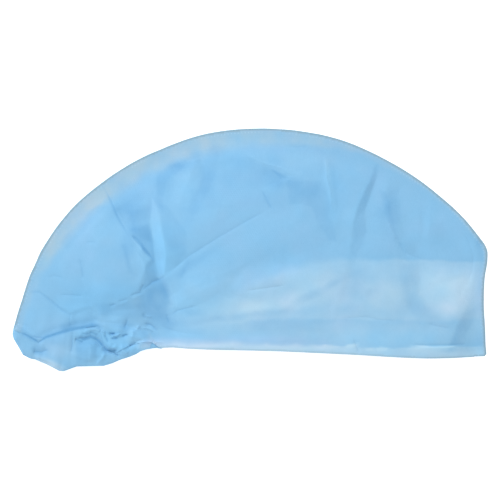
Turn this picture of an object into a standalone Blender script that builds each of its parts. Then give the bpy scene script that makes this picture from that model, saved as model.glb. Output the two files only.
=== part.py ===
"""A disposable surgical cap of thin nonwoven cloth, lying on its side.

Two side panels meet in a welded seam that runs from the nape over the crown and down the
forehead. The mouth has a turned hem, an absorbent band lines the forehead, and an elastic
in a ruffled casing gathers the nape. The cap lies on its left panel: +X is the forehead,
+Y the crown, -Y the mouth, and +Z the right side, which faces up. Lengths are in metres.
"""

from collections import namedtuple

import bmesh
import bpy
import numpy as np
from mathutils import Vector
from mathutils.bvhtree import BVHTree

# The cap as a whole
CAP_LENGTH = 0.290
CROWN_HEIGHT = 0.133
LOFT = 0.026
CROWN_REACH = 0.075
FRONT_REACH = 0.034
MOUTH_SAG = 0.005
SAG_REACH = 0.040

# Cloth and clearances
CLOTH = 0.0011
LAY_GAP = 0.0003
LINING_GAP = 0.0005
LINING_SPREAD = 0.0024

# The welded seam
SEAM_WIDTH = 0.0026
SEAM_TIP = 0.0010
SEAM_LIFT = 0.0030
CURL_REACH = 0.022
NAPE_EDGE = 0.0030

# The hem and the forehead band
HEM_HEIGHT = 0.006
BAND_LIFT = 0.024
BAND_HEIGHT = 0.033
BAND_REACH = 0.163
BAND_THICK = 0.0012
NOSE_LENGTH = 0.004

# The gathered nape
ELASTIC_WIDTH = 0.003
ELASTIC_THICK = 0.001
PLEAT_COUNT = 7
PLEAT_RISE = 0.0022
RUFFLE_RISE = 0.0010
RUFFLE_SCALLOP = 0.0011
PLEAT_REACH = 0.018
PINCH_REACH = 0.034

# Outlines in shares: along, of the cap's length from the nape, and up, of the crown's
# height from the mouth. The panels end below at the gathers and at the mouth, and the
# ruffle hangs below the gathers.
Place = namedtuple("Place", "along up")
CROWN_PLACES = (
    Place(0.004, 0.096),
    Place(0.010, 0.142),
    Place(0.038, 0.332),
    Place(0.101, 0.571),
    Place(0.185, 0.744),
    Place(0.312, 0.905),
    Place(0.420, 0.981),
    Place(0.522, 1.000),
    Place(0.606, 0.991),
    Place(0.690, 0.950),
    Place(0.775, 0.872),
    Place(0.859, 0.763),
    Place(0.943, 0.607),
)
FRONT_PLACES = (
    Place(0.984, 0.497),
    Place(0.997, 0.430),
    Place(0.992, 0.211),
    Place(0.995, 0.080),
    Place(0.999, -0.043),
)
GATHER_PLACES = (
    Place(0.006, 0.088),
    Place(0.017, 0.078),
    Place(0.059, 0.040),
    Place(0.094, 0.063),
    Place(0.143, 0.090),
    Place(0.184, 0.099),
    Place(0.237, 0.076),
    Place(0.280, 0.057),
    Place(0.291, 0.050),
    Place(0.300, 0.008),
)
MOUTH_PLACES = (
    Place(0.340, 0.002),
    Place(0.564, -0.013),
    Place(0.690, -0.026),
    Place(0.880, -0.047),
    Place(1.000, -0.043),
)
RUFFLE_PLACES = (
    Place(0.006, 0.022),
    Place(0.017, -0.015),
    Place(0.038, -0.048),
    Place(0.069, -0.072),
    Place(0.105, -0.103),
    Place(0.143, -0.093),
    Place(0.184, -0.083),
    Place(0.226, -0.056),
    Place(0.268, -0.019),
    Place(0.289, -0.010),
)

# How high the upper panel stands along the cap, as a share of the loft
Section = namedtuple("Section", "along height")
SECTIONS = (
    Section(0.00, 0.70),
    Section(0.15, 0.90),
    Section(0.35, 1.00),
    Section(0.60, 0.96),
    Section(0.80, 0.84),
    Section(1.00, 0.74),
)

# Creases and ridges of the upper panel: both ends, the rise (below zero for a crease) as a
# share of the loft, and the half width as a share of the cap's length
Fold = namedtuple("Fold", "from_along from_up to_along to_up rise half_width")
FOLDS = (
    Fold(0.200, 0.706, 0.300, 0.400, -0.17, 0.019),
    Fold(0.297, 0.690, 0.322, 0.330, 0.13, 0.019),
    Fold(0.338, 0.680, 0.366, 0.400, -0.12, 0.019),
    Fold(0.322, 0.312, 0.543, 0.615, -0.15, 0.018),
    Fold(0.300, 0.340, 0.318, 0.170, -0.20, 0.024),
    Fold(0.343, 0.142, 0.575, 0.284, -0.10, 0.018),
    Fold(0.764, 0.830, 0.716, 0.463, -0.17, 0.018),
    Fold(0.663, 0.876, 0.680, 0.486, -0.10, 0.020),
    Fold(0.526, 0.853, 0.653, 0.757, -0.10, 0.018),
    Fold(0.790, 0.570, 0.842, 0.417, -0.12, 0.020),
    Fold(0.070, 0.300, 0.143, 0.150, -0.12, 0.017),
    Fold(0.215, 0.520, 0.250, 0.300, -0.12, 0.018),
    Fold(0.846, 0.385, 0.842, 0.150, -0.08, 0.024),
)

# The forehead band's slanting ends: the share of its reach that each height of it has
BandRow = namedtuple("BandRow", "up reach")
BAND_ROWS = (
    BandRow(0.00, 1.00),
    BandRow(0.33, 0.86),
    BandRow(0.67, 0.68),
    BandRow(1.00, 0.47),
)

# Fineness of the meshes
COLUMNS_PER_PLEAT = 4
MOUTH_COLUMNS = 26
FRONT_COLUMNS = 8
PANEL_ROWS = 20
LOWER_PANEL_STEP = 2
SEAM_STATIONS = 84
LINING_STATIONS = 26
BAND_LINES = 7
BEND_STATIONS = 5
LINE_SAMPLES = 500
NEAREST_SAMPLES = 180

BLUE_CLOTH = (0.27, 0.55, 0.80)
PALE_BLUE = (0.34, 0.60, 0.80)
ABSORBENT_WHITE = (0.82, 0.86, 0.88)
ELASTIC_WHITE = (0.78, 0.78, 0.76)

# The mouth's Y, which puts the middle of the whole cap on the origin
MOUTH_Y = -(1 + min(spot.up for spot in RUFFLE_PLACES)) * CROWN_HEIGHT / 2

# Depths and widths that follow from the cloth and its clearances
PANEL_INSET = SEAM_WIDTH + LAY_GAP
SEAM_DEPTH = 2 * CLOTH + LAY_GAP
CASING_DEPTH = 2 * CLOTH + ELASTIC_THICK + 2 * LAY_GAP
RUFFLE_DEPTH = 2 * CLOTH + 2 * LAY_GAP
TUNNEL_HEIGHT = ELASTIC_WIDTH + 3 * CLOTH + 2 * LAY_GAP


def along(share):
    """The X of a share of the cap's length from the nape."""
    return (share - 0.5) * CAP_LENGTH


def place(spot):
    """The point in plan of a place given in shares."""
    return (along(spot.along), MOUTH_Y + spot.up * CROWN_HEIGHT)


def lengths_along(line):
    """The distance run from the start of a line to each of its points."""
    return np.append(0, np.cumsum(np.linalg.norm(np.diff(line, axis=0), axis=1)))


def points_at(line, shares):
    """The points of a line at given shares of its length."""
    run = lengths_along(line)
    wanted = np.asarray(shares) * run[-1]
    return np.stack([np.interp(wanted, run, line[:, k]) for k in (0, 1)], axis=-1)


def smooth_line(spots):
    """A smooth curve in plan through places given in shares, as closely spaced points."""
    knots = np.array([place(spot) for spot in spots])
    run = lengths_along(knots)
    slope = np.gradient(knots, run, axis=0)
    fine = np.linspace(0, run[-1], LINE_SAMPLES)
    left = np.clip(np.searchsorted(run, fine, side="right") - 1, 0, len(run) - 2)
    span = (run[left + 1] - run[left])[:, None]
    t = (fine - run[left])[:, None] / span
    line = (
        knots[left] * (1 + 2 * t) * (1 - t) ** 2
        + slope[left] * span * t * (1 - t) ** 2
        + knots[left + 1] * t**2 * (3 - 2 * t)
        - slope[left + 1] * span * t**2 * (1 - t)
    )
    return points_at(line, np.linspace(0, 1, LINE_SAMPLES))


def to_the_right(line):
    """The directions at right angles to a line, on the right of one who walks along it."""
    heading = np.gradient(line, axis=0)
    heading /= np.linalg.norm(heading, axis=1)[:, None]
    return np.stack([heading[:, 1], -heading[:, 0]], axis=1)


SEAM_LINE = smooth_line(CROWN_PLACES + FRONT_PLACES)
PANEL_BORDER = SEAM_LINE + PANEL_INSET * to_the_right(SEAM_LINE)
IN_FRONT = SEAM_LINE[:, 0] > place(FRONT_PLACES[0])[0]
CROWN_BORDER = PANEL_BORDER[~IN_FRONT]
FRONT_BORDER = PANEL_BORDER[IN_FRONT]
WHOLE_EDGE = smooth_line(GATHER_PLACES + MOUTH_PLACES)
CASING_END = place(RUFFLE_PLACES[-1])[0]
HEM_START = place(GATHER_PLACES[-1])[0] + CASING_DEPTH / 2
NAPE_BEND_X = along(0) + CASING_DEPTH + LAY_GAP
WITHIN = (WHOLE_EDGE[:, 0] > NAPE_BEND_X) & (WHOLE_EDGE[:, 0] < FRONT_BORDER[-1, 0])
LOWER_BORDER = WHOLE_EDGE[WITHIN]
RUFFLE_EDGE = smooth_line(RUFFLE_PLACES)


def run_of_edge(x):
    """How much of the panels' lower edge lies behind an X."""
    return np.interp(x, LOWER_BORDER[:, 0], lengths_along(LOWER_BORDER))


def panel_edge(x):
    """The Y of the panels' lower edge at any X."""
    return np.interp(x, LOWER_BORDER[:, 0], LOWER_BORDER[:, 1])


def distance_to(line, x, y):
    """How far each point in plan lies from a line."""
    points = np.stack([np.ravel(x), np.ravel(y)], axis=1)
    line = points_at(line, np.linspace(0, 1, NEAREST_SAMPLES))
    nearest = np.full(len(points), np.inf)
    for start, end in zip(line, line[1:]):
        run = end - start
        t = np.clip((points - start) @ run / (run @ run), 0, 1)
        away = np.linalg.norm(points - start - t[:, None] * run, axis=1)
        nearest = np.minimum(nearest, away)
    return nearest.reshape(np.shape(x))


def climb(distance, reach):
    """The climb away from a seam, from 0 at the seam to 1 at its reach."""
    return np.sin(np.pi / 2 * np.clip(distance / reach, 0, 1))


def pleat_wave(x):
    """The wave of the nape's gathers, from 0 in a trough to 1 on a crest."""
    share = np.clip(run_of_edge(x) / run_of_edge(CASING_END), 0, 1)
    wave = (1 - np.cos(2 * np.pi * PLEAT_COUNT * share)) / 2
    return wave * np.sin(np.pi * share) ** 0.5


def by_the_casing(x, y, reach):
    """How near a point is to the gathered nape, from 0 far away to 1 at the casing."""
    above = np.maximum(y - panel_edge(x), 0)
    past = np.maximum(x - CASING_END, 0)
    return np.exp(-((above / reach) ** 2) - (2 * past / reach) ** 2)


def lower_face(x, y):
    """The height of the lower panel's outer face: flat, curling up at seam and gathers."""
    to_seam = distance_to(PANEL_BORDER, x, y)
    curl = SEAM_LIFT * (1 - np.clip(to_seam / CURL_REACH, 0, 1)) ** 2
    ripple = PLEAT_RISE * pleat_wave(x) * by_the_casing(x, y, PLEAT_REACH)
    return np.maximum(curl, ripple)


def fold_rise(x, y):
    """The creases and ridges of the upper panel, added up."""
    total = np.zeros(np.shape(x))
    for fold in FOLDS:
        start = np.array(place(Place(fold.from_along, fold.from_up)))
        run = np.array(place(Place(fold.to_along, fold.to_up))) - start
        t = np.clip(((x - start[0]) * run[0] + (y - start[1]) * run[1]) / (run @ run), 0, 1)
        off = np.hypot(x - start[0] - t * run[0], y - start[1] - t * run[1])
        across = np.exp(-((off / (fold.half_width * CAP_LENGTH)) ** 2))
        total += fold.rise * LOFT * across
    return total


def underside(x, y):
    """The height of the upper panel's inner face."""
    to_crown = distance_to(CROWN_BORDER, x, y)
    to_front = distance_to(FRONT_BORDER, x, y)
    share = np.interp(x, [along(s.along) for s in SECTIONS], [s.height for s in SECTIONS])
    dome = LOFT * share * climb(to_crown, CROWN_REACH) * climb(to_front, FRONT_REACH)
    clear_of_seam = climb(np.minimum(to_crown, to_front), CROWN_REACH / 3)
    above_mouth = np.maximum(y - panel_edge(x), 0)
    sag = MOUTH_SAG * np.exp(-((above_mouth / SAG_REACH) ** 2))
    rise = dome + clear_of_seam * (fold_rise(x, y) - sag)
    casing_leg = np.minimum(1.5 * (CASING_DEPTH - CLOTH), to_crown)
    pinch = by_the_casing(x, y, PINCH_REACH)
    rise = np.maximum(rise * (1 - pinch) + casing_leg * pinch, 0)
    ruffle = RUFFLE_RISE * pleat_wave(x) * by_the_casing(x, y, PLEAT_REACH)
    return lower_face(x, y) + CLOTH + LAY_GAP + rise + ruffle


def panel_columns():
    """The shares of the panels' lower edge at which their columns stand."""
    whole = run_of_edge(LOWER_BORDER[-1, 0])
    casing_end = run_of_edge(CASING_END) / whole
    front_start = 1 - FRONT_REACH / whole
    nape = np.linspace(0, casing_end, PLEAT_COUNT * COLUMNS_PER_PLEAT + 1)
    mouth = np.linspace(casing_end, front_start, MOUTH_COLUMNS + 1)
    front = np.linspace(front_start, 1, FRONT_COLUMNS + 1)
    return np.concatenate([nape, mouth[1:], front[1:]])


def panel_plan():
    """The panels' grid in plan: columns from nape to forehead, rows from mouth to crown."""
    u = panel_columns()
    v = np.linspace(0, 1, PANEL_ROWS + 1)
    nape_start = NAPE_EDGE / lengths_along(CROWN_BORDER)[-1]
    bottom = points_at(LOWER_BORDER, u)
    top = points_at(CROWN_BORDER, nape_start + (1 - nape_start) * u)
    right = points_at(FRONT_BORDER[::-1], v)
    right[0], right[-1] = bottom[-1], top[-1]
    left = points_at(np.stack([bottom[0], top[0]]), v)
    u, v = u[:, None, None], v[None, :, None]
    corners = (1 - u) * ((1 - v) * bottom[0] + v * top[0])
    corners = corners + u * ((1 - v) * bottom[-1] + v * top[-1])
    between = (1 - v) * bottom[:, None] + v * top[:, None]
    return between + (1 - u) * left[None] + u * right[None] - corners


def new_piece(name, vertices, faces, colour):
    """A named object with its own cloth material."""
    mesh = bpy.data.meshes.new(name)
    bm = bmesh.new()
    corners = [bm.verts.new(Vector(vertex)) for vertex in vertices]
    for face in faces:
        bm.faces.new([corners[k] for k in face])
    bmesh.ops.recalc_face_normals(bm, faces=bm.faces)
    bm.to_mesh(mesh)
    bm.free()
    mesh.shade_smooth()
    mesh.set_sharp_from_angle(angle=np.radians(50))
    material = bpy.data.materials.new(name)
    material.use_nodes = True
    shader = material.node_tree.nodes["Principled BSDF"]
    shader.inputs["Base Color"].default_value = (*colour, 1)
    shader.inputs["Roughness"].default_value = 0.85
    shader.inputs["Metallic"].default_value = 0
    mesh.materials.append(material)
    piece = bpy.data.objects.new(name, mesh)
    bpy.context.collection.objects.link(piece)
    return piece


def sheet_solid(name, one_face, other_face, colour):
    """A closed sheet between two grids of points with the same columns and rows."""
    columns, rows = one_face.shape[:2]
    first = np.arange(columns * rows).reshape(columns, rows)
    second = first + columns * rows
    faces = []
    for grid in (first, second):
        for i in range(columns - 1):
            for j in range(rows - 1):
                faces.append((grid[i, j], grid[i + 1, j], grid[i + 1, j + 1]))
                faces.append((grid[i, j], grid[i + 1, j + 1], grid[i, j + 1]))
    rim = [(i, 0) for i in range(columns)]
    rim += [(columns - 1, j) for j in range(1, rows)]
    rim += [(i, rows - 1) for i in range(columns - 2, -1, -1)]
    rim += [(0, j) for j in range(rows - 2, 0, -1)]
    for here, after in zip(rim, rim[1:] + rim[:1]):
        faces.append((first[here], first[after], second[after], second[here]))
    vertices = np.vstack([one_face.reshape(-1, 3), other_face.reshape(-1, 3)])
    return new_piece(name, vertices, faces, colour)


def bar_solid(name, rings, colour):
    """A closed bar through rings of points."""
    stations, around = rings.shape[:2]
    index = np.arange(stations * around).reshape(stations, around)
    faces = [tuple(index[0]), tuple(index[-1])]
    for i in range(stations - 1):
        for j in range(around):
            k = (j + 1) % around
            faces.append((index[i, j], index[i + 1, j], index[i + 1, k], index[i, k]))
    return new_piece(name, rings.reshape(-1, 3), faces, colour)


def tube_solid(name, outer, inner, colour):
    """A tube with a wall between outer and inner rings, open at both ends."""
    stations, around = outer.shape[:2]
    outside = np.arange(stations * around).reshape(stations, around)
    inside = outside + stations * around
    faces = []
    for j in range(around):
        k = (j + 1) % around
        for i in range(stations - 1):
            for grid in (outside, inside):
                faces.append((grid[i, j], grid[i + 1, j], grid[i + 1, k], grid[i, k]))
        for i in (0, stations - 1):
            faces.append((outside[i, j], outside[i, k], inside[i, k], inside[i, j]))
    vertices = np.vstack([outer.reshape(-1, 3), inner.reshape(-1, 3)])
    return new_piece(name, vertices, faces, colour)


def upward_normals(x, y):
    """The upper panel's normals, upright on its borders."""
    step = LAY_GAP
    slope_x = (underside(x + step, y) - underside(x - step, y)) / (2 * step)
    slope_y = (underside(x, y + step) - underside(x, y - step)) / (2 * step)
    normal = np.stack([-slope_x, -slope_y, np.ones_like(x)], axis=-1)
    normal /= np.linalg.norm(normal, axis=-1, keepdims=True)
    for border in (np.s_[0], np.s_[-1], np.s_[:, 0], np.s_[:, -1]):
        normal[border] = (0, 0, 1)
    return normal


def every_few(count, first=0):
    """The columns or rows that the coarser lower panel keeps, all of them up to the first."""
    kept = np.arange(first, count, LOWER_PANEL_STEP)
    return np.unique(np.concatenate([np.arange(first), kept, [count - 1]]))


def make_right_panel(plan):
    """The upper side panel, domed, creased and gathered at the nape."""
    x, y = plan[..., 0], plan[..., 1]
    inner = np.stack([x, y, underside(x, y)], axis=-1)
    outer = inner + CLOTH * upward_normals(x, y)
    return sheet_solid("right_panel", inner, outer, BLUE_CLOTH)


def make_left_panel(plan):
    """The lower side panel, which lies on the floor."""
    columns = every_few(plan.shape[0], PLEAT_COUNT * COLUMNS_PER_PLEAT + 1)
    kept = plan[np.ix_(columns, every_few(plan.shape[1]))]
    x, y = kept[..., 0], kept[..., 1]
    outer = np.stack([x, y, lower_face(x, y)], axis=-1)
    return sheet_solid("left_panel", outer, outer + (0, 0, CLOTH), BLUE_CLOTH)


def make_seam():
    """The welded edge that joins the panels from the nape to the forehead's foot."""
    shares = np.linspace(0, 1, SEAM_STATIONS)
    outside = points_at(SEAM_LINE, shares)
    inside = outside + SEAM_WIDTH * to_the_right(outside)
    base = lower_face(*points_at(PANEL_BORDER, shares).T)
    taper = (SEAM_DEPTH - SEAM_TIP) / 2
    corners = (
        (inside, base),
        (outside, base + taper),
        (outside, base + taper + SEAM_TIP),
        (inside, base + SEAM_DEPTH),
    )
    rings = np.stack([np.column_stack(corner) for corner in corners], axis=1)
    return bar_solid("crown_seam", rings, PALE_BLUE)


class Hollow:
    """The space between the two panels, measured on the panels themselves."""

    def __init__(self, right, left):
        depsgraph = bpy.context.evaluated_depsgraph_get()
        self.above = BVHTree.FromObject(right, depsgraph)
        self.below = BVHTree.FromObject(left, depsgraph)

    def span(self, x, y):
        """The highest floor and the lowest ceiling close around a point, if it has both."""
        floors, ceilings = [], []
        for dx, dy in ((0, 0), (1, 0), (-1, 0), (0, 1), (0, -1)):
            spot = (x + dx * LINING_SPREAD, y + dy * LINING_SPREAD)
            down = self.below.ray_cast(Vector((*spot, 1)), Vector((0, 0, -1)))[0]
            up = self.above.ray_cast(Vector((*spot, -1)), Vector((0, 0, 1)))[0]
            if down and up:
                floors.append(down.z + LINING_GAP)
                ceilings.append(up.z - LINING_GAP)
        return (max(floors), min(ceilings)) if floors else (0, 0)

    def nose(self, lift, thickness):
        """The furthest X at which a doubled strip still fits at a height above the mouth."""
        x = FRONT_BORDER[:, 0].max()
        needed = 2 * thickness + LINING_GAP
        while x > HEM_START:
            floor, ceiling = self.span(x - thickness, panel_edge(x) + lift)
            if ceiling - floor > needed:
                return x
            x -= LINING_GAP
        return x


def lining_row(hollow, lift, thickness, start=None, reach=None):
    """One line round the inside of the forehead, as its outer and inner points.

    It starts at an X, or at its reach behind the forehead.
    """
    tip = hollow.nose(lift, thickness)
    last = tip - NOSE_LENGTH
    first = last - reach if start is None else start
    leg = np.linspace(first, last, LINING_STATIONS)
    turn = np.linspace(0, np.pi, BEND_STATIONS + 2)[1:-1]
    sides = []
    for inset in (0, thickness):
        bend = last + (NOSE_LENGTH - inset) * np.sin(turn)
        xs = np.concatenate([leg, bend, leg[::-1]])
        side = np.concatenate([np.full(len(leg), 1), np.cos(turn), np.full(len(leg), -1)])
        points = []
        for x, down in zip(xs, side):
            y = panel_edge(x) + lift
            floor, ceiling = hollow.span(x, y)
            half = (ceiling - floor) / 2 - inset
            points.append((x, y, (ceiling + floor) / 2 - down * half))
        sides.append(points)
    return sides


def lining_piece(name, rows, thickness, colour):
    """A strip that lines both panels and turns inside the forehead seam."""
    sides = np.array(rows)
    outer, inner = sides[:, 0].swapaxes(0, 1), sides[:, 1].swapaxes(0, 1)
    return sheet_solid(name, outer, inner, colour)


def make_hem(hollow):
    """The cloth turned in along the mouth."""
    rows = []
    for lift in (LINING_GAP, HEM_HEIGHT):
        rows.append(lining_row(hollow, lift, CLOTH, start=HEM_START))
    return lining_piece("hem", rows, CLOTH, PALE_BLUE)


def make_sweatband(hollow):
    """The absorbent band inside the forehead, with slanting ends."""
    rows = []
    for up in np.linspace(0, 1, BAND_LINES):
        share = np.interp(up, [row.up for row in BAND_ROWS], [row.reach for row in BAND_ROWS])
        lift = BAND_LIFT + up * BAND_HEIGHT
        rows.append(lining_row(hollow, lift, BAND_THICK, reach=share * BAND_REACH))
    return lining_piece("sweatband", rows, BAND_THICK, ABSORBENT_WHITE)


def round_the_nape(x, top, drops, halves):
    """Rings of a flat band that runs forward on both sides of the nape and bends round it.

    Each ring goes down the band's outer side and up its inner side. The drops are the
    distances below the band's top, and the halves half its thickness there.
    """
    y = top[:, None] - drops
    across = np.repeat(x[:, None], drops.shape[1], axis=1)
    low = lower_face(across, y) + CASING_DEPTH / 2
    ruffle = RUFFLE_RISE * pleat_wave(across)
    high = low + CASING_DEPTH + LAY_GAP + ruffle
    order = list(range(drops.shape[1]))
    order = order + order[::-1]
    out = np.array([1] * drops.shape[1] + [-1] * drops.shape[1]) * halves[:, order]
    x, y, low, high = across[:, order], y[:, order], low[:, order], high[:, order]
    rings = [np.stack([x, y, low - out], axis=-1)[::-1]]
    middle, radius = (low[0] + high[0]) / 2, (high[0] - low[0]) / 2
    for turn in np.linspace(0, np.pi, BEND_STATIONS + 2)[1:-1]:
        bent_x = x[0] - (radius + out[0]) * np.sin(turn)
        bent_z = middle - (radius + out[0]) * np.cos(turn)
        rings.append(np.stack([bent_x, y[0], bent_z], axis=-1)[None])
    rings.append(np.stack([x, y, high + out], axis=-1))
    return np.concatenate(rings)


def make_casing(plan):
    """The ruffled tunnel round the nape that holds the elastic."""
    gathers = plan[: PLEAT_COUNT * COLUMNS_PER_PLEAT + 1, 0]
    x, top = gathers[:, 0], gathers[:, 1] - LAY_GAP
    ruffle = np.interp(x, RUFFLE_EDGE[:, 0], RUFFLE_EDGE[:, 1])
    height = top - ruffle - RUFFLE_SCALLOP * pleat_wave(x)
    same = np.ones_like(height)
    outer_drops = np.stack([0 * same, 1.5 * CLOTH * same, TUNNEL_HEIGHT * same, height], 1)
    inner_drops = outer_drops + np.array([1, 0.5, -1, -1]) * CLOTH
    outer_halves = np.array([0.6 * CASING_DEPTH, CASING_DEPTH, CASING_DEPTH, RUFFLE_DEPTH])
    outer_halves = np.outer(same, outer_halves / 2)
    inner_halves = np.maximum(outer_halves - CLOTH, LAY_GAP / 2)
    outer = round_the_nape(x, top, outer_drops, outer_halves)
    inner = round_the_nape(x, top, inner_drops, inner_halves)
    return tube_solid("back_casing", outer, inner, BLUE_CLOTH)


def make_elastic(plan):
    """The flat elastic inside the casing."""
    gathers = plan[: PLEAT_COUNT * COLUMNS_PER_PLEAT + 1, 0]
    x, top = gathers[:, 0], gathers[:, 1] - LAY_GAP
    upper = 2 * CLOTH + LAY_GAP
    drops = np.tile([upper, upper + ELASTIC_WIDTH], (len(x), 1))
    halves = np.full(drops.shape, ELASTIC_THICK / 2)
    return bar_solid("back_elastic", round_the_nape(x, top, drops, halves), ELASTIC_WHITE)


def build():
    """The whole cap."""
    for old in list(bpy.data.objects):
        bpy.data.objects.remove(old, do_unlink=True)
    plan = panel_plan()
    right_panel = make_right_panel(plan)
    left_panel = make_left_panel(plan)
    make_seam()
    hollow = Hollow(right_panel, left_panel)
    make_hem(hollow)
    make_sweatband(hollow)
    make_casing(plan)
    make_elastic(plan)


build()
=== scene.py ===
"""The looks of a disposable surgical cap of thin nonwoven cloth, lying on its left side.

The two side panels, the welded seam, the turned hem, the absorbent forehead band and the
gathered nape with its elastic are made as sheets of cloth over the frame's solids. Lengths
are in metres, and +X is the forehead, +Y the crown and +Z the right side, which faces up.
"""

import math
from collections import namedtuple

import bpy
import numpy as np
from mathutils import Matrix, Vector, noise
from mathutils.bvhtree import BVHTree
from mathutils.geometry import delaunay_2d_cdt
from mathutils.kdtree import KDTree


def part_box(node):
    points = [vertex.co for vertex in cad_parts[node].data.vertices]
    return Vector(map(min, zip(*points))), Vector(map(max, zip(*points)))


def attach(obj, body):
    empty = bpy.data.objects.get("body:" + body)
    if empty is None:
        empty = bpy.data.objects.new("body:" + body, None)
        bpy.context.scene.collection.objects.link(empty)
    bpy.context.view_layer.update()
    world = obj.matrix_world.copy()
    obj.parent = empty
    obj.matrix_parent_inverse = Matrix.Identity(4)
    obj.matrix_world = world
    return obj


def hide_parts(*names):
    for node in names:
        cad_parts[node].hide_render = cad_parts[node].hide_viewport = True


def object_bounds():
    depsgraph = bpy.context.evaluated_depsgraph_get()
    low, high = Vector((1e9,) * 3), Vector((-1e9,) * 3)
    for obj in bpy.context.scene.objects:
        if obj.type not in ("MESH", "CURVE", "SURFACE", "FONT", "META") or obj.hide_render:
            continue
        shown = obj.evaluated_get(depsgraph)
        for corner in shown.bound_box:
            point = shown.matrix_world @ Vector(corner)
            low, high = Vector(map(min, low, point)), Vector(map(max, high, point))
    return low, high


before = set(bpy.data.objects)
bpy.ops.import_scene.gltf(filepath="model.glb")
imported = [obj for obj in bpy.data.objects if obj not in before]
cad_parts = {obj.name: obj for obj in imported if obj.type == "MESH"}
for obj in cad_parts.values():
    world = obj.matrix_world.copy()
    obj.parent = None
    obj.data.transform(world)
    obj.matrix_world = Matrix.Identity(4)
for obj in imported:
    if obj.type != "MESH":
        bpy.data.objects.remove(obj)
CAD_LOW, CAD_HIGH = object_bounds()

# A millimetre, for the sizes in tables
MM = 0.001

# Noise vectors start from the clock unless they are given a seed
NOISE_SEED = 11
noise.seed_set(NOISE_SEED)

# The photograph's frame: its width in pixels and on the floor, and the point it centres on
PHOTO_PIXELS = 500
FRAME_WIDTH = 0.304
AIM = (-0.0003, -0.00083)
PIXEL = FRAME_WIDTH / PHOTO_PIXELS
LENS = 150
SENSOR = 36
NEAR_CLIP = 0.01

# The panels' cloth, its flat size, and the gaps and blends where it meets other pieces
CLOTH = 0.00035
PANEL_FLAT = (0.300, 0.150)
LAY_GAP = 0.0002
LINING_GAP = 0.0005
LAP_GAP = 0.0006
LAP_BLEND = 0.003
LAP_END = 0.007
NAPE_BLEND = 0.004
NAPE_GROOVE = -0.0016
NAPE_MARGIN = 0.0008
CROWN_MARGIN = 0.003
LOWER_CRUMPLE_SUNK = 0.4
SMOOTH_DEGREES = 50

# The welded seam: its flange, the rim of painted shade along its edge and the spots pressed into
# it
FLANGE_WIDTH = 0.0031
FLANGE_THICK = 0.0006
FLANGE_ROUND = 0.0006
FLANGE_LEAST = 0.00005
FLANGE_COLUMNS = 9
FLANGE_PALE = 0.6
FLANGE_DEGREES = 60
PANEL_TUCK = 0.0005
EDGE_WIDTH = 0.0024
RIM_WIDTH = 0.0005
RIM_START = 0.3
SEAM_BLEND = 0.018
WELD_PITCH = 0.0021
WELD_RADIUS = 0.00042
WELD_DEPTH = 0.00022
WELD_INSET = 0.0024
Waver = namedtuple("Waver", "size reach lane")
FLUTTER = Waver(0.02, 0.0004, (0, 5))
RIPPLE = Waver(0.009, 0.00008, (7, 0))

# The hem, with the section of its rolled lip in shares of the lip and of the lining's gap
HEM_HEIGHT = 0.0060
HEM_LENGTH = 0.40
HEM_CLOTH = 0.8 * CLOTH
HEM_PALE = 0.7
TURN_LOWEST = 0.001
TURN_ROWS = 7
LIP = 0.0004
LipRow = namedtuple("LipRow", "up inset")
LIP_ROWS = (
    LipRow(0.6, -0.8),
    LipRow(0.2, -0.6),
    LipRow(0.0, -0.3),
    LipRow(0.2, -0.1),
    LipRow(1.0, 0.0),
)

# The forehead band: its ends slant, and each height of it has a share of its reach
BAND_LIFT = 0.024
BAND_HEIGHT = 0.033
BAND_REACH = 0.163
BAND_THICK = 0.0010
BAND_LEVELS = 27
BAND_PALE = 0.5
NOSE_LENGTH = 0.004
BandRow = namedtuple("BandRow", "up reach")
BAND_ROWS = (
    BandRow(0.00, 1.00),
    BandRow(0.33, 0.86),
    BandRow(0.67, 0.68),
    BandRow(1.00, 0.47),
)

# The gathered nape: its flat size, the larger stretch of weave that its puckers show, and
# the section of its tunnel. Then the elastic inside it.
CASING_WEAVE = (0.30, 0.045)
CASING_DEPTH = 0.0038
CASING_FLATNESS = 0.42
CASING_LEAST = CASING_DEPTH / 8
FACE_FLATNESS = 0.6
SHOWN_STEEPNESS = 4
LEG_SMOOTHING = 3
PUCKER_LENGTH = 0.0032
PUCKERS_ACROSS = 2.2
PUCKER_HEIGHT = 0.0003
TIP_ROUNDING = 1 / 6
NAPE_FILL = 0.0027
ELASTIC_WIDTH = 0.003
ELASTIC_THICK = 0.0009
ELASTIC_LENGTH = 0.18
ELASTIC_INSET = 0.0026
ELASTIC_DROP = 0.0010

# The seam round the crown and down the forehead, in the photograph's pixels, and the panels'
# lower edge and the ruffle, as shares of the cap's length and of the crown's height
SEAM_OUTLINE = (
    (13.3, 328.5), (18, 312), (22, 299.5), (26, 286.5), (30, 275), (35, 264), (40, 253),
    (50, 236.5), (60, 222.5), (70, 210.5), (80, 200.5), (100, 184), (120, 170), (140, 158.5),
    (160, 149.5), (180, 141.5), (200, 135.2), (230, 130), (260, 128.4), (300, 131), (340, 139.5),
    (380, 156.5), (420, 180.5), (440, 196.2), (460, 214.2), (470, 225.2), (480, 238.2),
    (485, 245), (487.4, 251), (487.6, 257), (486.8, 265), (485.4, 273), (484.4, 282),
    (483.9, 293), (483.8, 305), (484.2, 315), (484.9, 325), (485.3, 335), (485.7, 345),
    (486.4, 354.8),
)
SEAM_CORNER = (487.4, 252)
Place = namedtuple("Place", "along up")
GATHER_PLACES = (
    Place(0.006, 0.088),
    Place(0.017, 0.078),
    Place(0.059, 0.040),
    Place(0.094, 0.063),
    Place(0.143, 0.090),
    Place(0.184, 0.099),
    Place(0.237, 0.076),
    Place(0.280, 0.057),
    Place(0.291, 0.050),
    Place(0.300, 0.008),
)
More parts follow.
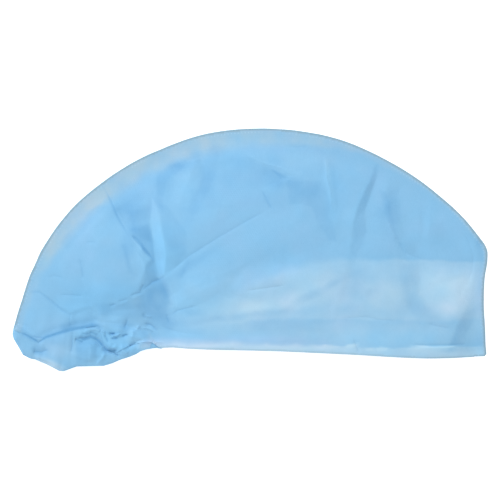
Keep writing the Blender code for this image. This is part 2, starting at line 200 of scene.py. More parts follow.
MOUTH_PLACES = (
    Place(0.340, 0.002),
    Place(0.564, -0.013),
    Place(0.690, -0.026),
    Place(0.880, -0.047),
    Place(1.000, -0.043),
)
RUFFLE_PLACES = (
    Place(0.006, 0.022),
    Place(0.017, -0.015),
    Place(0.038, -0.048),
    Place(0.069, -0.072),
    Place(0.105, -0.103),
    Place(0.143, -0.093),
    Place(0.184, -0.083),
    Place(0.226, -0.056),
    Place(0.268, -0.019),
    Place(0.289, -0.010),
)

# The nape in the photograph's pixels: its foot, its tip, and how far the panel laps over it
NAPE_OUTLINE = (
    (12.4, 334), (13.6, 338), (18.8, 346), (24, 354.5), (31.4, 358), (36, 358.8), (48, 364),
    (59.5, 370), (64, 370.6), (71, 368), (77, 365.8), (95, 365.4), (104, 365.2), (113, 362.4),
    (120, 359.2), (129, 356.4), (136, 353.6), (141, 350.4), (146, 349), (153, 347.8),
    (162, 346.4),
)
NAPE_TIP = (
    (16.4, 321), (15.0, 325), (13.7, 330), (13.1, 334), (14.4, 338.5), (19.2, 346), (24, 354.5),
    (31.4, 358),
)
PANEL_FOOT = (
    (14, 329), (19.9, 332), (29.7, 336), (39.4, 342.2), (47.5, 336.8), (58, 333.4), (71.6, 330),
    (84.2, 327.6), (97.5, 325.9), (100.5, 328.5), (102, 334), (103.2, 340), (105, 345.6),
    (108.5, 349.5), (113, 351.5), (118, 351.5), (122, 349), (126, 347), (130, 345.3),
    (136, 343.6), (141, 342.2), (146, 341.2), (151, 341.2), (154, 343.5), (157, 346),
    (160, 346.6),
)

# Values that change from the nape to the forehead, each at a pixel's distance to the right:
# the groove in which the panel lies on the nape, and the painted shade of the mouth's dark rim
Level = namedtuple("Level", "right value")
GROOVE_ROWS = (
    Level(16, 0.5),
    Level(24, 0.7),
    Level(40, 0.9),
    Level(66, 0.8),
    Level(98, 1.0),
    Level(104, 0.0),
)
MOUTH_RIM_SHADE_ROWS = (Level(390, 0.35), Level(440, 0.8))

# Creases of the upper panel and of the nape, along lines in the photograph's pixels. The
# rise, below zero for a valley, and the widths of the slopes to its left and right are in
# millimetres. A crease fades out over a share of its length at each end, and a valley also
# gets a line of painted shade.
Crease = namedtuple("Crease", "rise left right line")
PANEL_CREASES = (
    Crease(0.40, 0.7, 1.4, ((110, 197), (117, 209.5), (124, 223), (131.5, 236.6), (142, 249),
                            (151, 259))),
    Crease(-0.35, 0.7, 0.6, ((100, 180), (111.6, 202.3), (118.9, 218.6), (127.9, 234))),
    Crease(-0.60, 0.5, 0.8, ((132, 234), (138, 241), (144, 247.4), (155, 259))),
    Crease(-1.20, 2.2, 0.7, PANEL_FOOT[:10]),
    Crease(-0.30, 1.0, 0.8, ((165, 277), (190, 256), (220, 237), (246, 222), (270, 209))),
    Crease(-0.45, 0.8, 0.6, ((167, 275), (161, 279), (153, 282), (148, 287), (143, 291))),
    Crease(-0.45, 0.5, 0.5, ((145, 284), (142.5, 288), (141, 292))),
    Crease(0.30, 0.5, 0.5, ((149.5, 286.5), (147, 288.5), (145, 291))),
    Crease(-0.35, 0.7, 0.5, ((143, 292.5), (137, 293.5), (131, 295.5))),
    Crease(-0.28, 0.7, 0.5, ((128, 299), (124, 300), (119, 301.5))),
    Crease(-0.40, 0.5, 0.5, ((116, 303.5), (113.5, 305), (110, 306))),
    Crease(0.18, 0.8, 0.8, ((146, 293), (140, 295.5), (133, 299))),
    Crease(0.15, 0.8, 0.8, ((130, 300.5), (124, 303), (115, 306.5))),
    Crease(-0.35, 0.5, 0.5, ((167.5, 313), (168, 318), (170, 324))),
    Crease(-0.60, 0.8, 0.8, ((26, 292), (40, 292), (54, 303), (62, 310), (70, 315))),
    Crease(-0.30, 0.8, 0.8, ((60, 295), (70, 295), (84, 296))),
    Crease(-0.25, 0.8, 0.8, ((46, 277), (55, 276), (64, 278))),
    Crease(-0.50, 0.8, 1.2, ((71, 312), (70, 320), (71, 328))),
    Crease(-0.30, 1.4, 0.9, ((80, 258), (82, 266), (84, 280))),
    Crease(-0.40, 0.8, 0.9, ((172, 315), (178, 310), (186, 308), (198, 305))),
    Crease(-0.35, 0.7, 0.9, ((246, 290), (262, 288), (284, 285))),
    Crease(-0.25, 1.0, 1.0, ((288, 146), (298, 147), (309, 146))),
    Crease(0.35, 1.0, 0.8, ((326, 158), (326, 178), (329, 190), (331, 212))),
    Crease(-0.30, 0.8, 0.9, ((262, 191), (266, 199), (272, 211))),
    Crease(0.30, 0.8, 0.9, ((243, 153), (262, 163), (282, 169), (291, 175), (301, 174))),
    Crease(0.30, 0.9, 0.8, ((387, 223), (390, 231), (395, 240))),
    Crease(-0.30, 0.9, 1.0, ((396, 240), (402, 251), (412, 256), (424, 260))),
    Crease(-0.25, 0.8, 0.8, ((340, 317), (365, 316), (378, 319), (397, 320))),
    Crease(-0.35, 0.8, 0.8, ((426, 323), (438, 326), (449, 328))),
    Crease(-0.35, 0.8, 0.8, ((459, 228), (468, 240), (473, 256), (472, 270), (464, 290))),
    Crease(-0.45, 0.7, 0.7, ((353, 338), (355, 345), (358, 352))),
    Crease(-0.32, 0.6, 0.8, ((406, 341), (412, 343.6), (424, 344), (450, 344), (470, 343.4))),
    Crease(-0.80, 0.6, 0.6, ((145, 323.5), (150, 324.5), (153, 326), (157.5, 330.5))),
    Crease(0.50, 0.6, 0.6, ((142, 327.5), (149, 328.3), (154, 331))),
    Crease(-0.50, 0.5, 0.5, ((143.5, 313), (144.5, 316), (146, 318))),
    Crease(0.40, 0.5, 0.5, ((145.5, 315.5), (149, 316.5), (153, 316))),
    Crease(-0.60, 0.7, 0.7, ((128, 318), (127, 323), (124, 330), (123, 335))),
    Crease(0.45, 0.8, 0.8, ((140, 325), (136, 330), (132, 336))),
    Crease(-0.30, 1.4, 1.4, ((160, 326), (180, 331), (197, 333))),
    Crease(-0.25, 1.5, 1.0, ((86, 243), (92, 242), (99, 243))),
    Crease(0.25, 1.2, 1.0, ((440, 210), (452, 213), (460, 219))),
)
NAPE_CREASES = (
    Crease(-1.6, 1.0, 2.2, ((78, 337), (85, 339), (91, 337), (97, 339), (101, 343), (105, 348))),
    Crease(-1.5, 0.8, 1.0, ((103, 346), (107, 350), (112, 350.6), (118, 350))),
    Crease(-1.0, 0.8, 1.0, ((75, 339), (79, 340), (84, 342))),
    Crease(0.9, 0.6, 0.9, ((85, 331.5), (90, 328.9), (97, 328.8), (102, 331.5))),
    Crease(-0.5, 1.0, 1.0, ((90, 331), (94, 333), (99, 336))),
    Crease(-0.4, 0.6, 0.6, ((82, 333), (87, 334), (90, 333))),
    Crease(-0.9, 0.5, 0.6, ((109, 350.5), (114, 352), (120, 356))),
    Crease(0.8, 1.2, 1.0, ((106, 352), (103, 358), (100, 361), (97, 365))),
    Crease(-0.9, 0.4, 0.5, ((109, 333), (112, 333.7), (116, 333.3))),
    Crease(-0.55, 0.4, 0.5, ((111.5, 338), (114, 338.3), (118.5, 338))),
    Crease(-1.0, 0.5, 0.5, ((122.5, 336.5), (125.5, 335), (129, 334.5))),
    Crease(-0.6, 0.5, 0.5, ((105, 334), (107, 337), (109, 342))),
    Crease(-0.30, 0.5, 0.5, ((137, 341), (140, 339.8), (143, 340))),
    Crease(-0.8, 0.5, 0.6, ((129, 345.8), (133, 344.2), (137, 342.4))),
    Crease(0.9, 0.5, 0.6, ((102, 329.5), (104, 331), (106, 333))),
    Crease(0.8, 0.6, 0.6, ((112, 335.8), (117, 335.5), (121, 333))),
    Crease(0.8, 3.0, 2.0, ((140, 325), (136, 331), (131, 338))),
    Crease(0.6, 0.6, 0.9, ((136, 345), (145, 341.5), (157, 341.5), (164, 342))),
    Crease(-0.6, 2.0, 2.0, ((33, 351), (42, 352), (49, 349))),
    Crease(0.7, 3.0, 2.0, ((36, 355), (50, 361), (62, 367))),
    Crease(-0.5, 3.0, 2.0, ((73, 330), (73, 345), (71, 354))),
    Crease(0.8, 4.0, 4.0, ((90, 342), (92, 352), (90, 362))),
    Crease(0.8, 1.4, 1.4, ((110, 342), (112, 347), (118, 347))),
    Crease(0.9, 1.6, 1.2, ((122, 345), (124, 350), (128, 354))),
)
NAPE_GAIN = 1.45
CREASE_ROUNDING = 0.0003
CREASE_FADE = 0.18
CREASE_END = 0.15
# Painted shade along valley creases, on the panel and on the nape
CREASE_PAINTED_SHADE = 0.5
NAPE_PAINTED_SHADE = 0.75
CREASE_SHADE = 0.0006
# The darkest that all the painted shade may go
DARKEST_PAINTED_SHADE = 1.35

# Fold lines of the upper panel and of the nape, between which the cloth lies in flat facets.
# Each point is a pixel of the photograph and its rise in millimetres, below zero in a valley.
# The facets stretch to spots along the seam and the mouth, and to a frame round the cap.
Bend = namedtuple("Bend", "right down rise")
PANEL_FOLDS = (
    (Bend(107, 194, 0.1), Bend(116, 208, 0.4), Bend(124, 223, 0.7), Bend(132, 237, 0.8),
     Bend(142, 249, 0.6), Bend(151, 259, -0.2)),
    (Bend(152, 199, -0.1), Bend(152, 220, -1.0), Bend(154, 243, -1.7), Bend(157, 262, -2.0),
     Bend(160, 278, -1.9)),
    (Bend(154, 200, 0.2), Bend(161, 222, 0.9), Bend(165, 240, 1.3), Bend(167, 258, 1.3),
     Bend(165, 274, 0.4)),
    (Bend(187, 250, 0.0), Bend(176, 232, 0.1), Bend(168, 212, 0.2)),
    (Bend(178, 266, -0.1), Bend(190, 256, -0.1), Bend(220, 238, -0.1), Bend(246, 222, -0.1),
     Bend(270, 208, 0.0)),
    (Bend(112, 303, -0.1), Bend(132, 295, -0.1), Bend(138, 290, -0.3), Bend(148, 283, -0.7)),
    (Bend(122, 238, 0.0), Bend(129, 262, -0.5), Bend(136, 277, -0.4)),
    (Bend(140, 252, 0.5), Bend(146, 268, 0.6), Bend(141, 282, 0.2)),
    (Bend(162, 282, -1.5), Bend(167, 292, -1.1), Bend(171, 304, -0.6), Bend(175, 318, -0.2)),
    (Bend(143, 292, -0.9), Bend(147, 304, -0.6), Bend(158, 311, -0.4)),
    (Bend(176, 296, 0.7), Bend(192, 286, 0.9), Bend(216, 276, 0.6), Bend(250, 262, 0.1)),
    (Bend(214, 158, 0.2), Bend(206, 178, -0.6), Bend(196, 202, -0.5), Bend(190, 218, 0.0)),
    (Bend(196, 160, 0.5), Bend(188, 182, 0.5), Bend(180, 206, 0.2)),
    (Bend(164, 176, -0.4), Bend(180, 164, -0.5), Bend(200, 158, -0.3)),
    (Bend(243, 153, 0.2), Bend(262, 163, 0.6), Bend(282, 169, 0.7), Bend(300, 174, 0.3)),
    (Bend(272, 173, -0.2), Bend(284, 178, -0.3)),
    (Bend(287, 181, 0.2), Bend(304, 181, 0.3), Bend(322, 181, 0.3)),
    (Bend(262, 178, 0.0), Bend(258, 192, 0.0), Bend(270, 216, 0.0)),
    (Bend(288, 205, -0.3), Bend(300, 205, -0.4), Bend(311, 207, -0.5), Bend(319, 222, -0.6),
     Bend(329, 241, -0.4)),
    (Bend(326, 160, 0.3), Bend(327, 178, 0.6), Bend(331, 198, 0.6), Bend(334, 214, 0.2)),
    (Bend(334, 162, -0.1), Bend(336, 186, 0.0), Bend(338, 208, 0.0)),
    (Bend(376, 164, 0.1), Bend(370, 181, 0.6), Bend(363, 193, 0.8), Bend(357, 206, 1.0),
     Bend(352, 224, 0.9), Bend(348, 250, 0.2)),
    (Bend(379, 165, 0.0), Bend(376, 179, -0.6), Bend(370, 195, -0.7), Bend(365, 208, -0.7),
     Bend(365, 232, -0.6), Bend(356, 254, -0.1)),
    (Bend(386, 188, 0.3), Bend(387, 206, 0.4), Bend(388, 222, 0.4), Bend(395, 240, 0.3)),
    (Bend(399, 190, -0.3), Bend(399, 214, -0.3), Bend(404, 238, -0.2), Bend(414, 252, -0.5)),
    (Bend(421, 206, -0.3), Bend(422, 222, -0.3), Bend(420, 238, -0.1)),
    (Bend(430, 207, 0.4), Bend(429, 224, 0.4), Bend(426, 238, 0.1)),
    (Bend(396, 264, 0.2), Bend(397, 286, 0.4), Bend(402, 318, 0.2)),
    (Bend(418, 262, -0.3), Bend(419, 290, -0.7), Bend(432, 316, -0.3)),
    (Bend(446, 342, 0.25), Bend(454, 327, 0.45), Bend(463, 315, 0.4), Bend(474, 306, 0.1)),
    (Bend(461, 344, -0.35), Bend(467, 329, -0.4), Bend(477, 314, -0.2)),
    (Bend(464, 292, 0.3), Bend(472, 280, 0.6), Bend(474, 262, 0.5)),
    (Bend(71, 312, 0.3), Bend(70, 326, 0.3)),
    (Bend(76, 313, -0.4), Bend(77, 326, -0.5), Bend(98, 324, -0.4)),
    (Bend(42, 293, -0.2), Bend(56, 304, -0.3), Bend(68, 312, -0.2)),
    (Bend(102, 320, 0.5), Bend(113, 322, 0.6), Bend(122, 317, 0.3)),
    (Bend(100, 303, 0.2), Bend(112, 311, -0.4), Bend(140, 308, -0.5)),
    (Bend(60, 245, -0.3), Bend(78, 226, -0.4), Bend(98, 207, -0.3)),
    (Bend(226, 290, -0.4), Bend(236, 294, -0.2)),
    (Bend(286, 322, -0.3), Bend(300, 332, -0.3), Bend(330, 330, 0.2)),
)
NAPE_FOLDS = (
    (Bend(24, 341, 0.1), Bend(39, 344, -0.5), Bend(50, 338, -0.4), Bend(70, 331, -0.5),
     Bend(90, 327, -0.4)),
    (Bend(33, 353, 0.2), Bend(42, 352, -0.5), Bend(50, 349, -0.2)),
    (Bend(37, 357, 0.5), Bend(50, 361, 0.6), Bend(61, 367, 0.3)),
    (Bend(60, 341, 0.6), Bend(58, 350, 0.5), Bend(66, 360, 0.3)),
    (Bend(73, 338, -0.2), Bend(74, 347, -0.3), Bend(71, 357, -0.1)),
    (Bend(84, 333, 0.4), Bend(93, 330, 0.6), Bend(101, 334, 0.7), Bend(108, 343, 0.5)),
    (Bend(82, 340, -0.6), Bend(91, 337, -0.9), Bend(98, 340, -1.0), Bend(104, 347, -1.1)),
    (Bend(86, 350, 0.7), Bend(94, 354, 0.9), Bend(98, 361, 0.4)),
    (Bend(107, 350, -1.0), Bend(113, 351, -0.7), Bend(120, 356, -0.3)),
    (Bend(106, 355, 0.4), Bend(102, 361, 0.4)),
    (Bend(106, 331, -0.7), Bend(112, 334, -0.7), Bend(118, 334, -0.2)),
    (Bend(108, 338, 0.6), Bend(115, 341, 0.7), Bend(122, 345, 0.5)),
    (Bend(118, 339, -0.6), Bend(124, 337, -0.8), Bend(128, 332, -0.4)),
    (Bend(140, 326, 0.3), Bend(137, 332, 0.6), Bend(132, 338, 0.5)),
    (Bend(125, 348, 0.7), Bend(129, 352, 0.5)),
    (Bend(129, 345, -0.6), Bend(136, 342, -0.5)),
    (Bend(137, 346.5, 0.4), Bend(146, 343, 0.4), Bend(157, 342, 0.2)),
)
FOLD_GAIN = 1.15
NAPE_FOLD_GAIN = 0.85
FOLD_SOFTNESS = 0.0006
FOLD_SAMPLES = 5
FOLD_FRAME = (0.6, 0.4)
SEAM_SPOTS = 40
MOUTH_SPOTS = 24

# The crumple of the cloth: flat facets and soft waves, each with its size and height
Crumple = namedtuple("Crumple", "size height")
FACETS = (Crumple(0.026, 0.0007), Crumple(0.012, 0.00022))
WAVES = (Crumple(0.030, 0.0004), Crumple(0.006, 0.00008))
FACET_JITTER = 0.45
WAVE_WARP = 0.006
UPPER_WAVES, UPPER_FACETS = 3.7, 5
LOWER_WAVES, LOWER_FACETS = 9.1, 11

# How painted shapes wander at their edges, and how blotchy each kind of paint is
Wander = namedtuple("Wander", "size reach seed")
WANDERS = (Wander(0.009, 0.0012, 0.3), Wander(0.003, 0.0004, 0.7))
Cloud = namedtuple("Cloud", "share size seed")
CLOUD_GAIN = 1.6
STRIP_CLOUDS = (Cloud(0.45, 0.014, 0.2), Cloud(0.20, 0.005, 0.5))
TINT_CLOUDS = (Cloud(0.33, 0.022, 0.9), Cloud(0.22, 0.008, 0.4))
# Blotches in the painted shade and painted light
PAINTED_SHADE_CLOUDS = (Cloud(0.50, 0.010, 0.6),)

# Where the cloth looks pale, where it gets painted shade, below zero, or painted light, and
# how its blue leans: how much, the half sizes and the place of each soft patch in the
# photograph's pixels, and its turn in degrees
Patch = namedtuple("Patch", "amount across down turn at")
PATCH_SHARPNESS = 1.3
PALE_PATCHES = (
    Patch(0.20, 35, 14, 0, (312, 165)),
    Patch(0.80, 16, 4, -24, (51, 363)),
    Patch(0.20, 16, 10, 0, (58, 350)),
    Patch(0.55, 80, 4, -2, (235, 344)),
    Patch(0.70, 12, 1.3, 2, (327, 345)),
    # Painted light over the shaded end of the nape
    Patch(0.45, 8, 3, 8, (146, 346)),
    Patch(1.10, 6, 1.6, 3, (350, 344)),
    Patch(0.60, 4, 1.3, 0, (368, 347)),
    Patch(0.90, 5, 1.4, 0, (380, 347)),
    Patch(1.10, 22, 0.9, 0, (434, 345.6)),
    Patch(0.30, 34, 18, 0, (225, 318)),
    Patch(0.25, 60, 24, 12, (215, 296)),
    Patch(0.42, 130, 17, -3, (375, 333)),
    Patch(0.35, 14, 24, 0, (474, 322)),
)
BAND_PATCHES = (
    Patch(0.50, 26, 9, 0, (256, 306)),
    Patch(0.38, 17, 9, 0, (291, 302)),
    Patch(0.45, 42, 18, 0, (326, 287)),
    Patch(0.45, 24, 17, 0, (382, 294)),
    Patch(0.60, 25, 18, 10, (438, 289)),
    Patch(0.55, 14, 19, -20, (463, 289)),
    Patch(0.35, 14, 8, 0, (447, 309)),
    Patch(0.12, 60, 8, 0, (400, 268)),
)
# Painted shade below zero and painted light above zero
PAINTED_SHADE_AND_LIGHT_PATCHES = (
    Patch(-0.35, 42, 16, 32, (148, 182)),
    Patch(-0.30, 12, 8, 0, (135, 200)),
    Patch(-0.25, 8, 6, 0, (138, 226)),
    Patch(-0.40, 42, 26, 0, (254, 176)),
    Patch(-0.30, 10, 7, 0, (282, 186)),
    Patch(-0.22, 26, 9, -10, (322, 157)),
    Patch(-0.30, 60, 4, 6, (236, 316)),
    Patch(-0.22, 26, 16, -10, (355, 282)),
    Patch(-0.20, 8, 6, 0, (370, 293)),
    Patch(-0.30, 18, 10, 0, (118, 333)),
    Patch(-0.25, 12, 6, 0, (82, 346)),
    Patch(-0.35, 24, 5, 15, (62, 330)),
    Patch(-0.20, 40, 30, 0, (320, 182)),
    Patch(-0.20, 18, 6, 28, (184, 158)),
    Patch(-0.30, 8, 26, -25, (131, 236)),
    Patch(-0.25, 5, 8, 0, (132, 251)),
    Patch(-0.45, 7, 13, 0, (157, 204)),
    Patch(-0.22, 12, 7, 25, (122, 190)),
    Patch(-0.20, 12, 14, 0, (188, 214)),
    Patch(-0.22, 12, 8, 0, (270, 190)),
    Patch(-0.40, 30, 4, 33, (190, 266)),
    Patch(-0.30, 7, 4, 0, (446, 349)),
    Patch(0.25, 30, 6, 12, (250, 273)),
    Patch(0.30, 50, 5, -2, (270, 334)),
    Patch(-0.30, 16, 12, 0, (140, 224)),
    Patch(-0.25, 14, 16, 0, (172, 190)),
    Patch(-0.50, 18, 7, 30, (190, 163)),
    Patch(-0.40, 10, 12, 0, (206, 176)),
    Patch(-0.35, 12, 12, 0, (124, 214)),
    Patch(-0.35, 12, 20, 0, (390, 216)),
    Patch(-0.25, 24, 5, 0, (440, 263)),
    Patch(-0.25, 8, 14, 45, (476, 236)),
    Patch(0.75, 66, 12, 15, (262, 275)),
    Patch(0.50, 20, 14, 30, (106, 282)),
    Patch(0.35, 18, 14, 0, (166, 262)),
    Patch(0.35, 42, 60, 0, (445, 250)),
    Patch(0.15, 12, 26, 0, (474, 285)),
    Patch(0.25, 40, 14, 0, (360, 335)),
    Patch(-0.30, 10, 4, -20, (42, 356)),
    Patch(-0.45, 10, 7, 0, (217, 149)),
    Patch(-0.40, 4, 5, 0, (128, 330)),
    Patch(-0.30, 12, 4, 0, (106, 325)),
    Patch(-0.30, 6, 4, 0, (115, 336)),
    Patch(-0.30, 16, 4, 0, (196, 311)),
    Patch(-0.30, 12, 5, 0, (54, 341)),
    Patch(0.45, 12, 5, 0, (98, 363)),
    Patch(-0.30, 40, 4, 28, (318, 291)),
    Patch(0.35, 60, 4, -2, (215, 337)),
    Patch(0.40, 8, 5, -20, (129, 350)),
    Patch(0.30, 6, 6, 0, (27, 345)),
    Patch(0.25, 6, 5, 0, (108, 355)),
)
TINT_PATCHES = (
    Patch(0.6, 16, 14, 30, (458, 299)),
    Patch(0.6, 26, 12, 0, (60, 228)),
    Patch(1.9, 40, 5, 0, (178, 342)),
    Patch(1.0, 60, 5, -2, (270, 340)),
    Patch(0.6, 40, 10, 12, (270, 274)),
    Patch(0.7, 26, 5, -24, (44, 366)),
    Patch(0.4, 40, 6, 0, (270, 150)),
    Patch(0.4, 14, 10, 0, (291, 303)),
    Patch(0.5, 8, 28, 0, (481, 290)),
    Patch(0.5, 24, 7, 0, (428, 307)),
    Patch(-0.5, 24, 12, 0, (312, 168)),
    Patch(-0.9, 60, 9, 0, (400, 338)),
    Patch(-0.7, 20, 14, 0, (470, 332)),
    Patch(-0.6, 22, 4, 0, (456, 346)),
    Patch(-0.8, 45, 18, 8, (92, 300)),
    Patch(-0.9, 24, 34, 0, (165, 250)),
    Patch(-1.4, 28, 12, 0, (106, 343)),
    Patch(-1.0, 24, 10, 0, (196, 307)),
    Patch(-0.7, 18, 10, 0, (128, 285)),
    Patch(-0.8, 12, 6, 0, (86, 334)),
    Patch(-0.7, 8, 5, 0, (446, 348)),
    Patch(-0.7, 4, 7, -30, (47, 259)),
    Patch(-0.6, 14, 4, 35, (130, 176)),
    Patch(-0.5, 16, 4, 0, (251, 138)),
    Patch(-0.5, 30, 36, 0, (205, 285)),
    Patch(-0.4, 8, 36, 0, (331, 196)),
    Patch(-0.5, 6, 18, -20, (362, 200)),
)

# The pale field of the forehead band in the photograph's pixels: its top and foot, how soft
# its top is in metres, and how it fades at its ends
BAND_TOP = ((200, 316), (215, 304), (240, 289), (262, 279), (290, 268), (318, 260), (353, 258.6),
            (413, 260.6), (490, 261.6))
BAND_FOOT = ((200, 325), (293, 317), (380, 319), (447, 321), (490, 318))
BAND_TOP_SOFTNESS = (Level(300, 0.008), Level(400, 0.002))
BAND_FOOT_SOFTNESS = 0.003
BAND_ENDS = (Level(205, 0.0), Level(250, 1.0), Level(478, 1.0), Level(486, 0.4))
BAND_SHOWS = 0.30

# Facets painted with shade, below zero, or with light, to look darker or brighter than the
# cloth round them, each with the softness of its edge in millimetres and its corners in the
# photograph's pixels
PaintedFacetShade = namedtuple("PaintedFacetShade", "amount softness corners")
PAINTED_FACET_SHADES = (
    PaintedFacetShade(0.35, 3.0, ((104, 328), (128, 328), (150, 338), (148, 345), (118, 354), (106, 348))),
    PaintedFacetShade(-0.20, 5.0, ((190, 190), (214, 186), (222, 206), (196, 214))),
    PaintedFacetShade(-0.45, 3.0, ((131, 228), (151, 224), (156, 256), (155, 262), (144, 250))),
    PaintedFacetShade(-0.35, 1.2, ((133, 235), (140, 238), (150, 250), (155, 259), (145, 250))),
    PaintedFacetShade(-0.30, 4.0, ((128, 212), (150, 206), (153, 240), (140, 238))),
    PaintedFacetShade(-0.13, 3.3, ((114, 206), (149, 203), (148, 222), (128, 226))),
    PaintedFacetShade(-0.45, 1.8, ((147, 262), (154, 259), (158, 278), (161, 280), (150, 285), (142, 290),
                      (146, 276))),
    PaintedFacetShade(-0.52, 5.0, ((146, 288), (156, 279), (163, 278), (168, 290), (173, 303), (160, 308),
                      (149, 301))),
    PaintedFacetShade(-0.40, 6.0, ((140, 294), (166, 286), (173, 304), (176, 320), (168, 330), (150, 320),
                      (138, 308))),
    PaintedFacetShade(-0.30, 1.2, ((137, 249), (139, 250), (147, 261), (144, 263))),
    PaintedFacetShade(-0.26, 2.4, ((159, 203), (168, 206), (178, 222), (187, 234), (188, 256), (176, 266),
                      (170, 262), (167, 240), (163, 220))),
    PaintedFacetShade(-0.25, 2.5, ((379, 190), (386, 192), (397, 238), (392, 240))),
    PaintedFacetShade(-0.25, 2.5, ((178, 279), (184, 263), (192, 256), (190, 264), (183, 276))),
    PaintedFacetShade(-0.14, 7.0, ((214, 292), (240, 273), (270, 247), (276, 252), (246, 282), (222, 296))),
    PaintedFacetShade(0.80, 1.4, ((136, 346), (142, 343), (154, 342.5), (156, 349), (138, 353))),
    PaintedFacetShade(0.35, 2.0, ((128, 336), (131, 329), (138, 325), (150, 328), (150, 336), (135, 339))),
    PaintedFacetShade(0.20, 1.4, ((102, 316), (118, 315), (125, 316), (123, 324), (118, 330), (104, 327))),
    PaintedFacetShade(-0.45, 1.2, ((104.5, 348), (110, 348.5), (116, 349.5), (115, 351.5), (108, 352.5))),
    PaintedFacetShade(-0.22, 3.0, ((98, 304), (148, 302), (168, 306), (170, 320), (120, 316), (100, 314))),
    PaintedFacetShade(-0.34, 2.6, ((121, 244), (127, 244), (131, 262), (136, 276), (130, 272), (126, 258))),
    PaintedFacetShade(-0.22, 2.0, ((376, 163), (379, 163), (376, 178), (371, 193), (365, 207), (364, 218),
                      (366, 232), (361, 246), (353, 256), (348, 252), (352, 238), (353, 222),
                      (358, 205), (364, 192), (370, 180))),
    PaintedFacetShade(-0.12, 2.2, ((369, 176), (373, 182), (365, 204), (361, 202), (364, 190))),
    PaintedFacetShade(-0.26, 2.0, ((287, 181), (322, 181), (330, 206), (328, 214), (336, 241), (328, 241),
                      (318, 222), (311, 207), (297, 204), (288, 205))),
    PaintedFacetShade(-0.12, 4.5, ((387, 188), (398, 190), (400, 215), (396, 226), (388, 222))),
    PaintedFacetShade(-0.22, 3.0, ((396, 241), (404, 251), (415, 256), (414, 243))),
    PaintedFacetShade(-0.08, 5.0, ((431, 236), (453, 240), (464, 258), (428, 258))),
    PaintedFacetShade(-0.24, 6.0, ((397, 262), (416, 262), (419, 290), (430, 312), (440, 319), (415, 322),
                      (402, 300))),
    PaintedFacetShade(-0.26, 3.0, ((476, 262), (484, 262), (485, 352), (446, 350), (453, 330), (463, 311),
                      (472, 290))),
    PaintedFacetShade(-0.18, 3.0, ((451, 339), (455, 328), (463, 316), (474, 308), (477, 316), (467, 330),
                      (462, 344), (448, 344))),
    PaintedFacetShade(-0.14, 2.2, ((421, 205), (418, 214), (419, 232), (423, 232))),
    PaintedFacetShade(-0.28, 2.6, ((157, 192), (158, 174), (169, 167), (186, 159), (192, 163), (180, 172),
                      (168, 182), (164, 196))),
    PaintedFacetShade(-0.20, 4.0, ((207, 155), (218, 153), (216, 176), (206, 198), (194, 214), (186, 210),
                      (196, 194), (204, 174))),
    PaintedFacetShade(-0.15, 2.0, ((80, 258), (84, 262), (86, 279), (81, 276))),
    PaintedFacetShade(-0.15, 2.5, ((60, 240), (80, 222), (98, 204), (106, 208), (86, 228), (66, 250))),
    PaintedFacetShade(-0.21, 1.8, ((261, 190), (268, 197), (274, 212), (268, 206))),
    PaintedFacetShade(-0.26, 1.8, ((271, 170), (284, 176), (292, 178), (279, 179))),
    PaintedFacetShade(-0.12, 3.0, ((242, 320), (330, 320), (338, 335), (300, 338), (250, 332))),
    PaintedFacetShade(-0.20, 2.0, ((224, 284), (238, 288), (232, 298), (222, 296))),
    PaintedFacetShade(-0.30, 2.0, ((476, 226), (484, 244), (485, 262), (478, 262), (476, 246))),
    PaintedFacetShade(-0.25, 2.0, ((76, 338), (100, 342), (102, 362), (78, 362))),
    PaintedFacetShade(-0.36, 3.3, ((30, 347), (40, 344), (50, 348), (48, 354), (36, 354))),
    PaintedFacetShade(0.30, 1.2, ((152, 198), (154, 199), (160, 214), (164, 234), (167, 258), (165, 274),
                     (161, 277), (157, 262), (154, 243), (152, 220))),
    PaintedFacetShade(0.21, 2.2, ((139, 250), (146, 261), (146, 276), (140, 285), (138, 270))),
    PaintedFacetShade(0.25, 2.0, ((166, 300), (176, 291), (195, 283), (216, 275), (218, 283), (195, 293),
                     (180, 303), (170, 309))),
    PaintedFacetShade(0.19, 3.3, ((344, 210), (357, 206), (352, 225), (348, 238), (338, 238))),
    PaintedFacetShade(0.21, 1.5, ((325, 160), (328, 160), (330, 178), (333, 198), (335, 212), (331, 206),
                     (326, 182))),
    PaintedFacetShade(0.17, 2.2, ((243, 151), (262, 161), (282, 167), (302, 172), (300, 177), (288, 176),
                     (264, 168))),
    PaintedFacetShade(0.20, 2.2, ((468, 262), (474, 262), (472, 284), (460, 297), (466, 280))),
    PaintedFacetShade(0.12, 3.0, ((175, 168), (190, 168), (190, 208), (177, 208))),
    PaintedFacetShade(0.17, 1.8, ((386, 222), (390, 224), (396, 240), (391, 238))),
    PaintedFacetShade(0.10, 3.3, ((425, 207), (434, 207), (432, 237), (423, 237))),
    PaintedFacetShade(0.20, 2.0, ((102, 318), (120, 316), (124, 322), (118, 329), (104, 326))),
)

